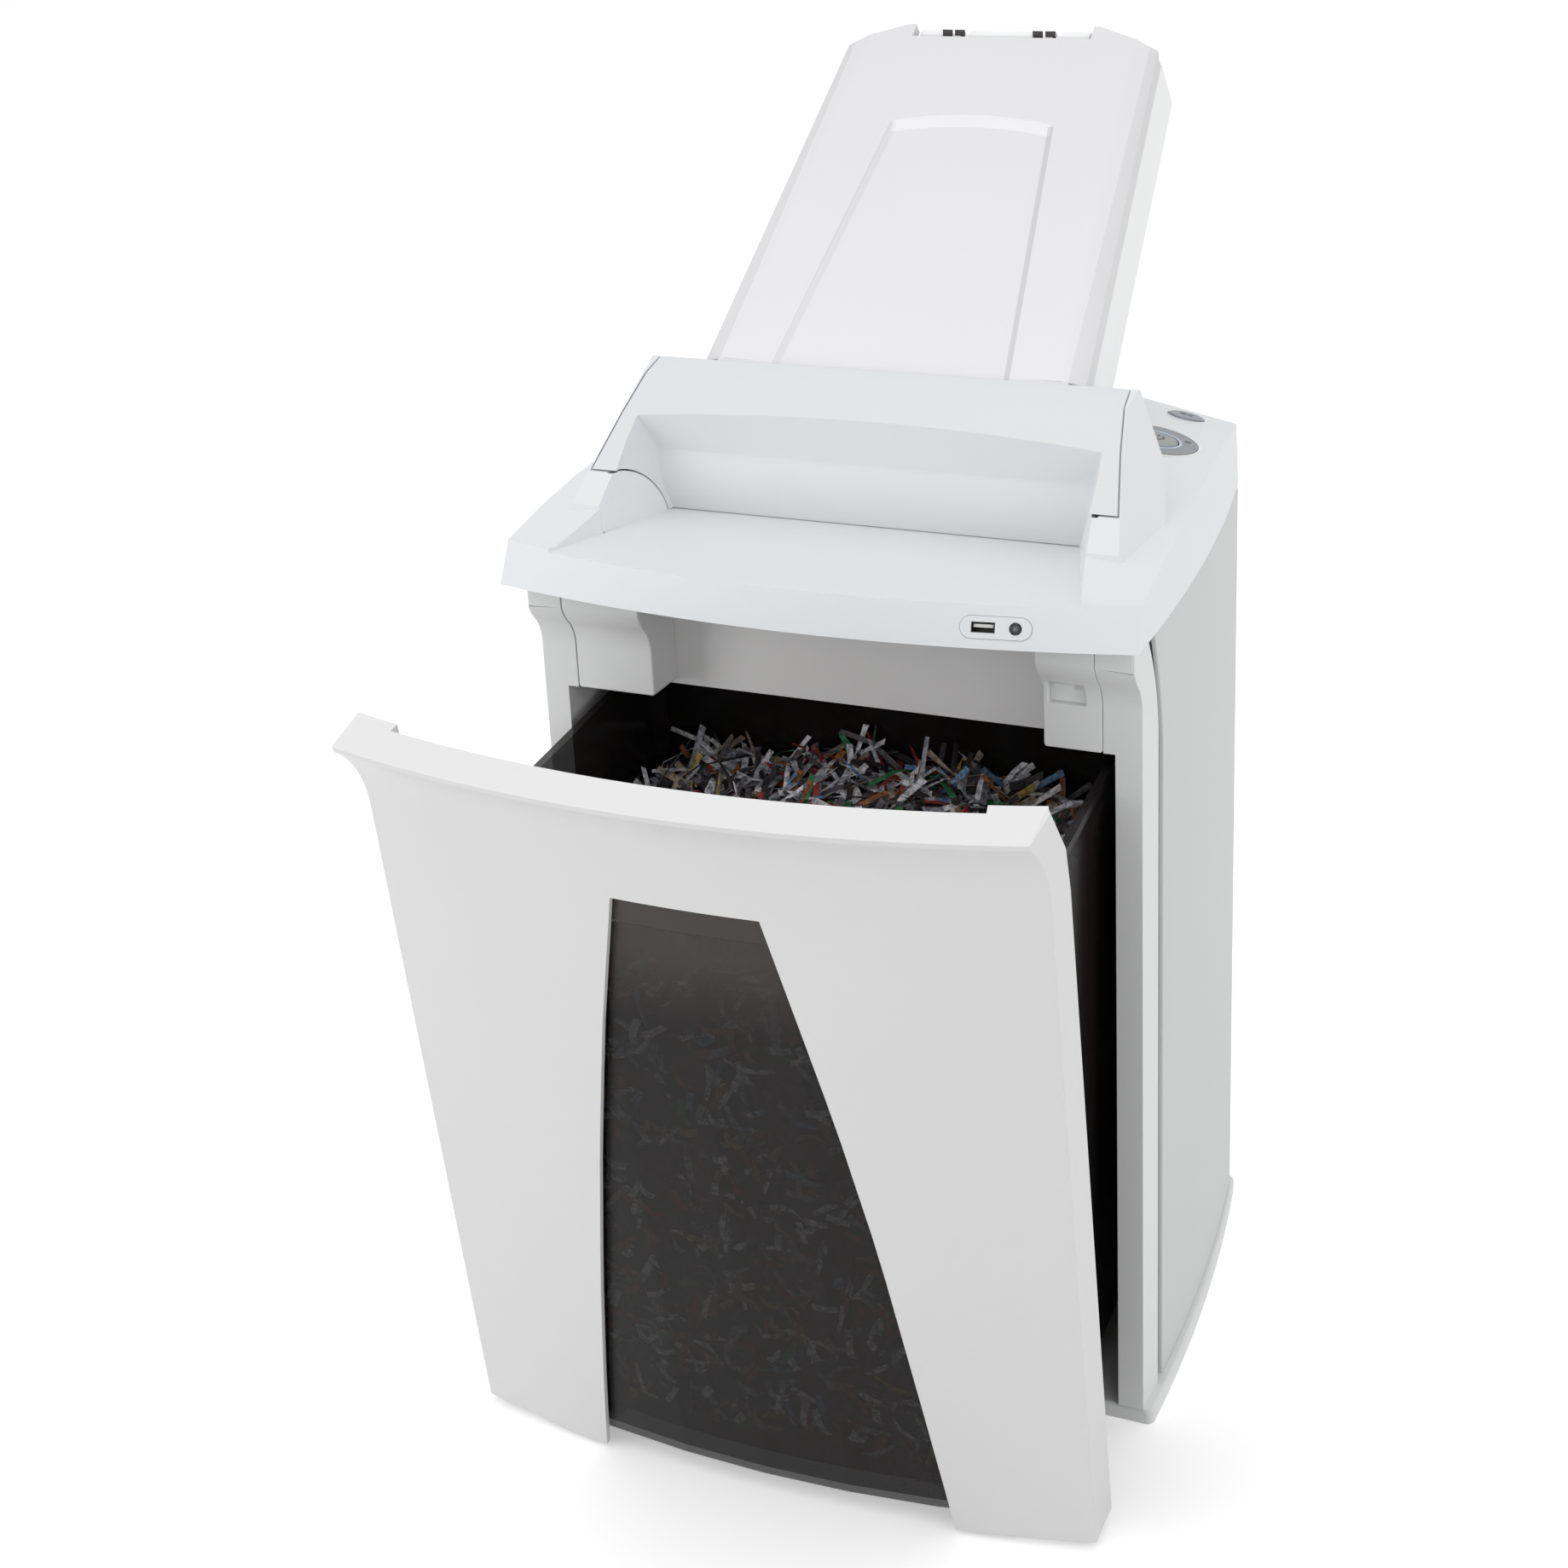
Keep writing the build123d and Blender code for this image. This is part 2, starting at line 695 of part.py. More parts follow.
def tray_outline(start, end, inset=0):
    low, high = tray_half(start) - inset, tray_half(corner_along) - inset
    Polyline((-low, start), (low, start), (high, corner_along), (end_half - inset, end),
             (inset - end_half, end), (-high, corner_along), close=True)


pedestal_front = 106.5
roller_place = tray_point(-18, -tray_depth - 12)
with BuildPart() as tray_base:
    with BuildSketch(tray_plane.offset(-tray_depth)):
        with BuildLine():
            tray_outline(-45, tray_length - 1)
        make_face()
    extrude(amount=tray_depth - lid_depth - 0.5)
    with BuildSketch(tray_plane.offset(wall - tray_depth)):
        with BuildLine():
            tray_outline(-60, tray_length - 1 - wall, wall)
        make_face()
    extrude(amount=tray_depth, mode=Mode.SUBTRACT)
    with BuildSketch(Plane.YZ.offset(-throat_half)):
        with BuildLine():
            Polyline(*side_points([
                (pedestal_front, 540), (throat_rear, 540), (throat_rear, tray_bottom(throat_rear) + 1.3),
                (pedestal_front, tray_bottom(pedestal_front) + 1.3)]), close=True)
        make_face()
    extrude(amount=2 * throat_half)
    with BuildSketch(Plane.YZ.offset(wall - throat_half)):
        with BuildLine():
            inner_rear = throat_rear - wall
            Polyline(*side_points([
                (100, 530), (inner_rear, 530), (inner_rear, tray_bottom(inner_rear) - 2.4),
                (100, tray_bottom(100) - 2.4)]), close=True)
        make_face()
    extrude(amount=2 * (throat_half - wall), mode=Mode.SUBTRACT)
    with BuildSketch(tray_plane.offset(-tray_depth - 12)):
        with Locations((0, -22)):
            Rectangle(150, 44)
    extrude(amount=20, mode=Mode.SUBTRACT)
    with BuildSketch(Plane.YZ.offset(-150)):
        with BuildLine():
            Polyline(*side_points([
                (pedestal_front, 500), (pedestal_front, 700), (40, 700), (40, 500)]), close=True)
        make_face()
    extrude(amount=300, mode=Mode.SUBTRACT)
    with BuildSketch(Plane.YZ.offset(-throat_half)):
        with Locations((at(roller_place[0]), roller_place[1])):
            Circle(roller_shaft_radius + 0.06)
    extrude(amount=2 * throat_half, mode=Mode.SUBTRACT)
    # hinge block at the top end, with a window round each of the lid's knuckles
    with BuildSketch(tray_side_plane.offset(-block_half)):
        with Locations((hinge_along, hinge_height)):
            Circle(knuckle_radius)
        with BuildLine():
            Polyline((hinge_along - knuckle_radius, hinge_height),
                     (hinge_along - knuckle_radius, -lid_depth - 0.5),
                     (tray_length - 1, -lid_depth - 0.5), (tray_length - 1, hinge_height), close=True)
        make_face()
        with Locations((hinge_along, hinge_height)):
            Circle(lid_pin_radius, mode=Mode.SUBTRACT)
    hinge_block = extrude(amount=2 * block_half, mode=Mode.PRIVATE)
    with BuildSketch(tray_side_plane.offset(-knuckle_x - 8)):
        with Locations((hinge_along, hinge_height - 1)):
            Rectangle(14, 15.1)
    window = extrude(amount=16, mode=Mode.PRIVATE)
    add(hinge_block - window - mirror(window, about=Plane.YZ, mode=Mode.PRIVATE))
finish(tray_base, "tray_base")

lid_start = -2
border = 14
notch_half = 60
notch_along = 257
with BuildPart() as tray_lid:
    with BuildSketch(tray_plane.offset(-lid_depth)):
        with BuildLine():
            tray_outline(lid_start, tray_length - 1)
        make_face()
    extrude(amount=lid_depth)
    top_face = tray_lid.faces().sort_by(Axis((0, 0, 0), tray_plane.z_dir))[-1]
    long_edges = top_face.edges().sort_by(SortBy.LENGTH)[-3:].sort_by(Axis.X)
    chamfer([long_edges[0], long_edges[-1]], border, 4.5, reference=top_face)
    # hollow underside, closed at the lower end
    with BuildSketch(tray_plane.offset(-lid_depth)):
        with BuildLine():
            tray_outline(lid_start + wall, tray_length + 20, wall)
        make_face()
        with Locations((0, tray_length)):
            Rectangle(260, 36)
    extrude(amount=lid_depth - 8, mode=Mode.SUBTRACT)
    with BuildSketch(tray_plane.offset(-lid_depth)):
        with BuildLine():
            tray_outline(lid_start + wall, tray_length - 9, border + wall)
        make_face()
    extrude(amount=lid_depth - wall, mode=Mode.SUBTRACT)
    with BuildSketch(tray_plane.offset(-lid_depth)):
        with Locations((0, notch_along + 10)):
            Rectangle(2 * notch_half, 20)
    extrude(amount=lid_depth, mode=Mode.SUBTRACT)
    # raised pad
    with BuildSketch(tray_plane):
        with BuildLine():
            Polyline((-54, 187), (-76, lid_start), (76, lid_start), (54, 187))
            ThreePointArc((54, 187), (0, 193), (-54, 187))
        make_face()
    extrude(amount=pad_rise)
    pad_face = tray_lid.faces().sort_by(Axis((0, 0, 0), tray_plane.z_dir))[-1]
    chamfer(pad_face.edges().sort_by(Axis.Z)[1:], pad_bevel, pad_rise - 0.3, reference=pad_face)
    # hinge arms with knuckles on the pin
    for side in (1, -1):
        with BuildSketch(tray_side_plane.offset(side * (knuckle_x - 2.5))):
            with BuildLine():
                Polyline((238, -2), (238, -9), (hinge_along, hinge_height - knuckle_radius),
                         (hinge_along, hinge_height + knuckle_radius), (notch_along, -2), close=True)
            make_face()
            with Locations((hinge_along, hinge_height)):
                Circle(knuckle_radius)
            with Locations((hinge_along, hinge_height)):
                Circle(lid_pin_radius + 0.05, mode=Mode.SUBTRACT)
        extrude(amount=side * 5)
finish(tray_lid, "tray_lid")

with BuildPart() as tray_hinge_pin:
    with BuildSketch(tray_side_plane.offset(-block_half)):
        with Locations((hinge_along, hinge_height)):
            Circle(lid_pin_radius)
    extrude(amount=2 * block_half)
finish(tray_hinge_pin, "tray_hinge_pin")

# Feed roller under the tray, turned by a small motor of its own
tyre_radius = 18
tyre_width = 30
roller_plane = Plane.YZ.shift_origin((0, at(roller_place[0]), roller_place[1]))
feed_motor_x = (92, throat_half - wall)
with BuildPart() as feed_shaft:
    with BuildSketch(roller_plane.offset(-throat_half)):
        Circle(roller_shaft_radius)
    extrude(amount=throat_half + feed_motor_x[0] + 12)
finish(feed_shaft, "feed_shaft")

with BuildPart() as feed_tyres:
    for x in (-40, 40):
        with BuildSketch(roller_plane.offset(x - tyre_width / 2)):
            Circle(tyre_radius)
            Circle(roller_shaft_radius, mode=Mode.SUBTRACT)
        extrude(amount=tyre_width)
finish(feed_tyres, "feed_tyres")

with BuildPart() as feed_motor:
    with BuildSketch(roller_plane.offset(feed_motor_x[0])):
        Circle(9.5)
    extrude(amount=feed_motor_x[1] - feed_motor_x[0])
    with BuildSketch(roller_plane.offset(feed_motor_x[0])):
        Circle(roller_shaft_radius + 0.06)
    extrude(amount=14, mode=Mode.SUBTRACT)
finish(feed_motor, "feed_motor")

# Cutting block: two plates on the floor of the compartment, bushes, rollers and combs
cutter_depths = (cutter_front_depth, cutter_front_depth + cutter_spacing)
idler_depth = 188
pinion_teeth = 13
drive_teeth = 30
sync_teeth = 23
motor_depth = idler_depth + gear_module * (drive_teeth + pinion_teeth) / 2
floor_top = inner_wall_bottom + wall
plate_top = 512
bush_radius = 14
motor_radius = 30
motor_shaft_radius = 5
idler_radius = 5


def cutter_plane(depth, x):
    return Plane.YZ.offset(x).shift_origin((x, at(depth), cutter_height))


def cutter_plate(x, depth_end, shaft_holes):
    with BuildPart() as plate:
        with BuildSketch(Plane.YZ.offset(x)):
            with Locations((at((44 + depth_end) / 2), (floor_top + plate_top) / 2)):
                Rectangle(depth_end - 44, plate_top - floor_top)
            for depth in cutter_depths:
                with Locations((at(depth), cutter_height)):
                    RegularPolygon(bush_radius, 6, mode=Mode.SUBTRACT)
            for depth in shaft_holes:
                with Locations((at(depth), cutter_height)):
                    Circle(motor_shaft_radius + 1, mode=Mode.SUBTRACT)
        extrude(amount=plate_thickness)
    return plate


cutter_plate_left = cutter_plate(-plate_x - plate_thickness, 172, [])
finish(cutter_plate_left, "cutter_plate_left")
cutter_plate_right = cutter_plate(plate_x, 264, [motor_depth])
finish(cutter_plate_right, "cutter_plate_right")

with BuildPart() as shaft_bushes:
    for x in (-plate_x - plate_thickness, plate_x):
        for depth in cutter_depths:
            with BuildSketch(cutter_plane(depth, x)):
                RegularPolygon(bush_radius, 6)
                Circle(shaft_radius + 0.05, mode=Mode.SUBTRACT)
            extrude(amount=plate_thickness)
finish(shaft_bushes, "shaft_bushes")


# Cutter rollers: hooked discs on six-sided shafts, set half a pitch apart so that they interleave
def cutter_roller(depth, first_x, count, x_end, turn):
    with BuildPart() as roller:
        with BuildSketch(cutter_plane(depth, -152)):
            RegularPolygon(shaft_radius, 6)
        extrude(amount=x_end + 152)
        for x in (-plate_x - plate_thickness - 0.5, plate_x - 0.5):
            with BuildSketch(cutter_plane(depth, x)):
                Circle(shaft_radius)
            extrude(amount=plate_thickness + 1)
        with BuildSketch(*[cutter_plane(depth, first_x + disc_pitch * i) for i in range(count)]):
            hooks = []
            for i in range(8):
                for radius, angle in ((21.5, 0), (disc_radius, 4 * turn), (disc_radius, 20 * turn)):
                    hooks.append((radius * cos(radians(45 * i * turn + angle)),
                                  radius * sin(radians(45 * i * turn + angle))))
            with BuildLine():
                Polyline(*hooks, close=True)
            make_face()
        extrude(amount=disc_width)
    return roller


disc_first_x = -disc_pitch * (disc_count - 1) / 2 - disc_width / 2
cutter_roller_front = cutter_roller(
    cutter_depths[0], disc_first_x, disc_count, plate_x + plate_thickness + 1, 1)
finish(cutter_roller_front, "cutter_roller_front")
cutter_roller_rear = cutter_roller(
    cutter_depths[1], disc_first_x + disc_pitch / 2, disc_count - 1, plate_x + plate_thickness + 15, -1)
finish(cutter_roller_rear, "cutter_roller_rear")


# Combs that strip the paper from between the discs
def cutter_comb(bar, finger, first_x, count):
    with BuildPart() as comb:
        with BuildSketch(Plane.YZ.offset(-plate_x)):
            with Locations((at((bar[0] + bar[1]) / 2), cutter_height)):
                Rectangle(bar[1] - bar[0], 10)
        extrude(amount=2 * plate_x)
        with BuildSketch(*[Plane.YZ.offset(first_x + disc_pitch * i) for i in range(count)]):
            with Locations((at((finger[0] + finger[1]) / 2), cutter_height)):
                Rectangle(finger[1] - finger[0], 6)
        extrude(amount=disc_width)
    return comb


cutter_comb_front = cutter_comb((46, 56), (55, 72.5), disc_first_x + disc_pitch / 2, disc_count - 1)
finish(cutter_comb_front, "cutter_comb_front")
cutter_comb_rear = cutter_comb((154, 164), (137.5, 155), disc_first_x, disc_count)
finish(cutter_comb_rear, "cutter_comb_rear")

with BuildPart() as tie_rods:
    for place in ((50, 457), (164, 457), (166, 503)):
        with BuildSketch(Plane.YZ.offset(-plate_x)):
            with Locations((at(place[0]), place[1])):
                RegularPolygon(4, 6)
        extrude(amount=2 * plate_x)
finish(tie_rods, "tie_rods")

with BuildPart() as throat_guide:
    guide_half = throat_half - 0.5
    with BuildSketch(Plane.YZ.offset(-guide_half)):
        for points in (
            [(78, 535), (99, 509), (101, 509.5), (80.5, 536)],
            [(146, 538), (110, 509), (112.5, 508.5), (148, 537)],
        ):
            with BuildLine():
                Polyline(*side_points(points), close=True)
            make_face()
    extrude(amount=2 * guide_half)
    for side in (1, -1):
        with BuildSketch(Plane.YZ.offset(side * guide_half)):
            with BuildLine():
                Polyline(*side_points([(78, 535), (99, 509), (112, 509), (147, 537)]), close=True)
            make_face()
        extrude(amount=-side * 2)
        with BuildSketch(Plane.YZ.offset(side * guide_half)):
            with Locations((at(105), plate_top)):
                Rectangle(18, 6)
        extrude(amount=side * (plate_x - guide_half))
finish(throat_guide, "throat_guide")


# Straight-flanked spur gears: a pair that ties the rollers and a train from the motor
def gear_outline(teeth, phase):
    pitch_radius = gear_module * teeth / 2
    points = []
    for i in range(teeth):
        centre = radians(phase) + 2 * pi * i / teeth
        for rise, sign in ((-2.4, -1), (1.7, -1), (1.7, 1), (-2.4, 1)):
            radius = pitch_radius + rise
            half = (0.205 * pi * gear_module - 0.46 * rise) / radius
            points.append((radius * cos(centre + sign * half), radius * sin(centre + sign * half)))
    Polyline(*points, close=True)


def spur_gear(depth, x, teeth, phase, round_bore=None):
    with BuildPart() as gear:
        with BuildSketch(cutter_plane(depth, x)):
            with BuildLine():
                gear_outline(teeth, phase)
            make_face()
            if round_bore:
                Circle(round_bore, mode=Mode.SUBTRACT)
            else:
                RegularPolygon(shaft_radius, 6, mode=Mode.SUBTRACT)
        extrude(amount=gear_width)
    return gear


gear_width = 9
sync_x = -plate_x - plate_thickness - 3 - gear_width
drive_x = plate_x + plate_thickness + 3
sync_gear_front = spur_gear(cutter_depths[0], sync_x, sync_teeth, 0)
finish(sync_gear_front, "sync_gear_front")
sync_gear_rear = spur_gear(cutter_depths[1], sync_x, sync_teeth, 0)
finish(sync_gear_rear, "sync_gear_rear")
drive_gear = spur_gear(cutter_depths[1], drive_x, drive_teeth, 0)
finish(drive_gear, "drive_gear")
idler_gear = spur_gear(idler_depth, drive_x, drive_teeth, 180 / drive_teeth, idler_radius + 0.05)
finish(idler_gear, "idler_gear")
motor_pinion = spur_gear(motor_depth, drive_x, pinion_teeth, 180 / pinion_teeth, motor_shaft_radius)
finish(motor_pinion, "motor_pinion")

with BuildPart() as idler_axle:
    with BuildSketch(cutter_plane(idler_depth, plate_x + plate_thickness)):
        Circle(idler_radius)
    extrude(amount=gear_width + 7)
    with BuildSketch(cutter_plane(idler_depth, plate_x + plate_thickness)):
        Circle(idler_radius + 3)
    extrude(amount=2.5)
finish(idler_axle, "idler_axle")

motor_x = 24
with BuildPart() as cutter_motor:
    with BuildSketch(cutter_plane(motor_depth, motor_x)):
        Circle(motor_radius)
    extrude(amount=plate_x - motor_x)
    chamfer(cutter_motor.edges().filter_by(GeomType.CIRCLE).sort_by(Axis.X)[0], 3)
    with BuildSketch(cutter_plane(motor_depth, plate_x - 16)):
        Circle(motor_shaft_radius + 0.05)
    extrude(amount=16, mode=Mode.SUBTRACT)
finish(cutter_motor, "cutter_motor")

with BuildPart() as motor_shaft:
    with BuildSketch(cutter_plane(motor_depth, plate_x - 15)):
        Circle(motor_shaft_radius)
    extrude(amount=15 + plate_thickness + gear_width + 4)
finish(motor_shaft, "motor_shaft")

board_plane = Plane.XZ.offset(-rear_panel_y)
with BuildPart() as control_board:
    with BuildSketch(board_plane):
        with Locations((-35, 482)):
            with GridLocations(72, 46, 2, 2):
                Rectangle(6, 6)
    extrude(amount=5)
    with BuildSketch(board_plane.offset(5)):
        with Locations((-35, 482)):
            Rectangle(84, 58)
    extrude(amount=1.6)
    with BuildSketch(board_plane.offset(6.6)):
        with Locations((-55, 492), (-20, 478)):
            Rectangle(22, 18)
    extrude(amount=12)
finish(control_board, "control_board")

# Bin: a tub, a bowed front panel with a window, and a bar on two skids that it tips about
glide_local = (20, 3)
tilt = radians(bin_tilt)
bin_plane = Plane(
    origin=(0, at(-10 - bin_pull) - glide_local[0] * cos(tilt) + glide_local[1] * sin(tilt),
            glide_height - glide_local[0] * sin(tilt) - glide_local[1] * cos(tilt)),
    x_dir=(1, 0, 0), z_dir=(0, -sin(tilt), cos(tilt)),
)
bin_side_plane = Plane(origin=bin_plane.origin, x_dir=bin_plane.y_dir, z_dir=(1, 0, 0))
bin_front_plane = Plane(origin=bin_plane.origin, x_dir=(1, 0, 0), z_dir=-bin_plane.y_dir)
bin_floor = 11
bin_depth_low = 250
skin_gap = 1.5
tub_taper = 8
tub_corner = 8


def panel_back(x):
    return panel_skin + skin_gap - (panel_bow_radius ** 2 - x ** 2) ** 0.5 + panel_bow_radius - front_bow


def tub_section(height, half, back, inset):
    reach = half - inset
    front_line = [(reach * step / 3, panel_back(half * step / 3) + inset) for step in range(-3, 4)]
    with BuildSketch(bin_plane.offset(height)) as section:
        with BuildLine():
            Polyline(*front_line, (reach - tub_taper, back - inset), (tub_taper - reach, back - inset),
                     close=True)
        make_face()
        corners = section.vertices().filter_by(lambda corner: abs(corner.X) > reach - tub_taper - 1)
        chamfer(corners, tub_corner)
    return section.sketch


def tub_half(height):
    return bin_half_low + (bin_half_top - bin_half_low) * (height - bin_floor) / (bin_rim - bin_floor)


def tub_back(height):
    return bin_depth_low + (bin_depth_top - bin_depth_low) * (height - bin_floor) / (bin_rim - bin_floor)


def tub_cut(height, inset):
    return tub_section(height, tub_half(height), tub_back(height), inset)


lug_x = 120
bar_radius = 4
with BuildPart() as bin_tub:
    loft([tub_cut(bin_floor, 0), tub_cut(bin_rim, 0)], ruled=True)
    # turned-out rim on the sides and the back
    with BuildSketch(bin_plane.offset(bin_rim - 5)):
        with BuildLine():
            rim_front, rim_rear = bin_half_top + 2, bin_half_top + 2.5 - tub_taper
            Polyline((-rim_front, 20), (rim_front, 20), (rim_rear, bin_depth_top + 2),
                     (-rim_rear, bin_depth_top + 2), close=True)
        make_face()
    extrude(amount=5)
    hollow = [tub_cut(bin_floor + wall, bin_wall), tub_cut(bin_rim + 1, bin_wall)]
    loft(hollow, ruled=True, mode=Mode.SUBTRACT)
    # ribs that ride on the base plate
    for side in (1, -1):
        with BuildSketch(bin_side_plane.offset(side * 100)):
            with Locations((150, (bin_floor + 2.5) / 2)):
                Rectangle(170, bin_floor - 2.5)
        extrude(amount=side * 5)
finish(bin_tub, "bin_tub")

with BuildPart() as bin_lugs:
    for side in (1, -1):
        with BuildSketch(bin_side_plane.offset(side * (lug_x - 7))):
            with Locations((glide_local[0], (bin_floor + glide_local[1] - 6) / 2)):
                Rectangle(18, bin_floor - glide_local[1] + 6)
            with Locations(glide_local):
                Circle(bar_radius + 0.06, mode=Mode.SUBTRACT)
        extrude(amount=side * 14)
finish(bin_lugs, "bin_lugs")

with BuildPart() as front_panel:
    panel_axis = Axis(bin_plane.origin + bin_plane.y_dir * (panel_bow_radius - front_bow), bin_plane.z_dir)
    with BuildSketch(bin_side_plane):
        with BuildLine():
            Line((-front_bow, 0), (-front_bow, panel_height))
            lip_tip = (1 - front_bow - lip_reach, panel_height + 48)
            TangentArc((-front_bow, panel_height), lip_tip, tangent=(0, 1))
            Polyline(lip_tip, (-front_bow - lip_reach, panel_height + 52), (6 - front_bow, panel_height + 57),
                     (6 - front_bow, panel_height + 37), (panel_skin - front_bow, panel_height + 25),
                     (panel_skin - front_bow, 0), (-front_bow, 0))
        make_face()
    revolve(axis=panel_axis, revolution_arc=15)
    with BuildSketch(bin_side_plane):
        with BuildLine():
            Polyline((-front_bow, panel_height + 45), (8 - front_bow, panel_height + 45),
                     (8 - front_bow, panel_height + 70), (-front_bow, panel_height + 70), close=True)
        make_face()
    revolve(axis=panel_axis, revolution_arc=11.7, mode=Mode.SUBTRACT)
    mirror(about=Plane.YZ)
    with BuildSketch(bin_plane.offset(-10)):
        Rectangle(2 * panel_half, 400)
    extrude(amount=600, mode=Mode.INTERSECT)
    # side flanges
    for side in (1, -1):
        with BuildSketch(bin_side_plane.offset(side * (panel_half - panel_skin))):
            with BuildLine():
                Polyline((0, 0), (29, 0), (29, 430), (26, 457), (6, 492), (0, 492), close=True)
            make_face()
        extrude(amount=side * panel_skin)
    # window
    with BuildSketch(bin_front_plane):
        with BuildLine():
            ThreePointArc((-112, -5), (-89, 187), (-44.5, 397))
            Line((-44.5, 397), (44.5, 397))
            ThreePointArc((44.5, 397), (89, 187), (112, -5))
            Line((112, -5), (-112, -5))
        make_face()
    extrude(amount=60, mode=Mode.SUBTRACT)
finish(front_panel, "front_panel")

glide_y = at(-10 - bin_pull)
bar_plane = Plane.YZ.shift_origin((0, glide_y, glide_height))
skid_x = (136, 150)
skid_bottom = 0.6
skid_top = 16.6
with BuildPart() as bin_glide_bar:
    with BuildSketch(bar_plane.offset(-skid_x[1])):
        Circle(bar_radius)
    extrude(amount=2 * skid_x[1])
finish(bin_glide_bar, "bin_glide_bar")

with BuildPart() as bin_skid_right:
    with BuildSketch(bar_plane.offset(skid_x[0])):
        with Locations((0, (skid_bottom + skid_top) / 2 - glide_height)):
            Rectangle(18.4, skid_top - skid_bottom)
        Circle(bar_radius, mode=Mode.SUBTRACT)
    extrude(amount=skid_x[1] - skid_x[0])
finish(bin_skid_right, "bin_skid_right")

with BuildPart() as bin_skid_left:
    mirror(bin_skid_right.part, about=Plane.YZ)
finish(bin_skid_left, "bin_skid_left")

heap_top = 368
heap_inset = bin_wall + 0.4
with BuildPart() as paper_shreds:
    loft([tub_cut(bin_floor + wall, heap_inset), tub_cut(heap_top - 20, heap_inset)], ruled=True)
    loft([tub_cut(heap_top - 20, heap_inset), tub_cut(heap_top, heap_inset + 40)], ruled=True)
    # hollow from below, so that the heap weighs what loose strips weigh
    loft([tub_cut(bin_floor + wall, heap_inset + 5), tub_cut(heap_top - 30, heap_inset + 5)],
         ruled=True, mode=Mode.SUBTRACT)
finish(paper_shreds, "paper_shreds")

with BuildPart() as rear_screws:
    with BuildSketch(Plane.XZ.offset(-rear_panel_y - wall)):
        with Locations((0, 262)):
            with GridLocations(300, 480, 2, 2):
                RegularPolygon(4, 6)
        with Locations((0, 500)):
            with GridLocations(140, 0, 2, 1):
                RegularPolygon(4, 6)
    extrude(amount=-2.2)
finish(rear_screws, "rear_screws")
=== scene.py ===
import bpy
import bmesh
import json
import math
from mathutils import Matrix, Vector

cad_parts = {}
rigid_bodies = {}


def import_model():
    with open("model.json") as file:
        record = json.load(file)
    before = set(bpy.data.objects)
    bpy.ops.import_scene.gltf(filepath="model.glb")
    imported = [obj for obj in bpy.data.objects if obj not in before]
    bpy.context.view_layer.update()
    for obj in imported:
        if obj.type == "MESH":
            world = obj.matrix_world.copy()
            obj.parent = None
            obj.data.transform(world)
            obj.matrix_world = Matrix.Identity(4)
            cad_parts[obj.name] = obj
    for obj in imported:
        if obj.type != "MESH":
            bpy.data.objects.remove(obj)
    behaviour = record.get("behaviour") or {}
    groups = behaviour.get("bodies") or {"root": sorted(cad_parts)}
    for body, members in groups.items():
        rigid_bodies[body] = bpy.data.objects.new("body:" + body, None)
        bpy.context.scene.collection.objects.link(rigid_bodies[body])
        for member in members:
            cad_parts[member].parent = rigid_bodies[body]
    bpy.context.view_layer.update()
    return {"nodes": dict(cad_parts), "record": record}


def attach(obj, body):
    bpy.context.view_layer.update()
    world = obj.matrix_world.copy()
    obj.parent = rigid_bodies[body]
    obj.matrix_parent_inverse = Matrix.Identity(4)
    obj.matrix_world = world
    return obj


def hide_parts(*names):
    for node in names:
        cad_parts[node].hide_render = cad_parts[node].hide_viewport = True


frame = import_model()
nodes = frame["nodes"]
scene = bpy.context.scene
bodyOf = {node: body for body, members in frame["record"]["behaviour"]["bodies"].items() for node in members}
print("frame loaded:", len(nodes), "nodes")


# node groups, and the nodes that fill them
def newGroup(name, inputs, outputs, kind="ShaderNodeTree"):
    group = bpy.data.node_groups.new(name, kind)
    for label, socketKind, value in inputs:
        socket = group.interface.new_socket(label, in_out="INPUT", socket_type=socketKind)
        if value is not None:
            socket.default_value = value
    for label, socketKind in outputs:
        group.interface.new_socket(label, in_out="OUTPUT", socket_type=socketKind)
    return group, group.nodes.new("NodeGroupInput"), group.nodes.new("NodeGroupOutput")


def link(tree, source, target):
    tree.links.new(source, target)


def mathNode(tree, operation, *values):
    node = tree.nodes.new("ShaderNodeMath")
    node.operation = operation
    for socket, value in zip(node.inputs, values):
        if isinstance(value, (int, float)):
            socket.default_value = value
        else:
            link(tree, value, socket)
    return node.outputs[0]


def noiseNode(tree, coord, scale, detail=2.0):
    noise = tree.nodes.new("ShaderNodeTexNoise")
    noise.inputs["Detail"].default_value = detail
    link(tree, coord, noise.inputs["Vector"])
    if isinstance(scale, (int, float)):
        noise.inputs["Scale"].default_value = scale
    else:
        link(tree, scale, noise.inputs["Scale"])
    return noise.outputs[0]


grainLook = {"detail": 3, "cloudScale": 9, "cloudDetail": 4, "bumpDistance": 0.0004}


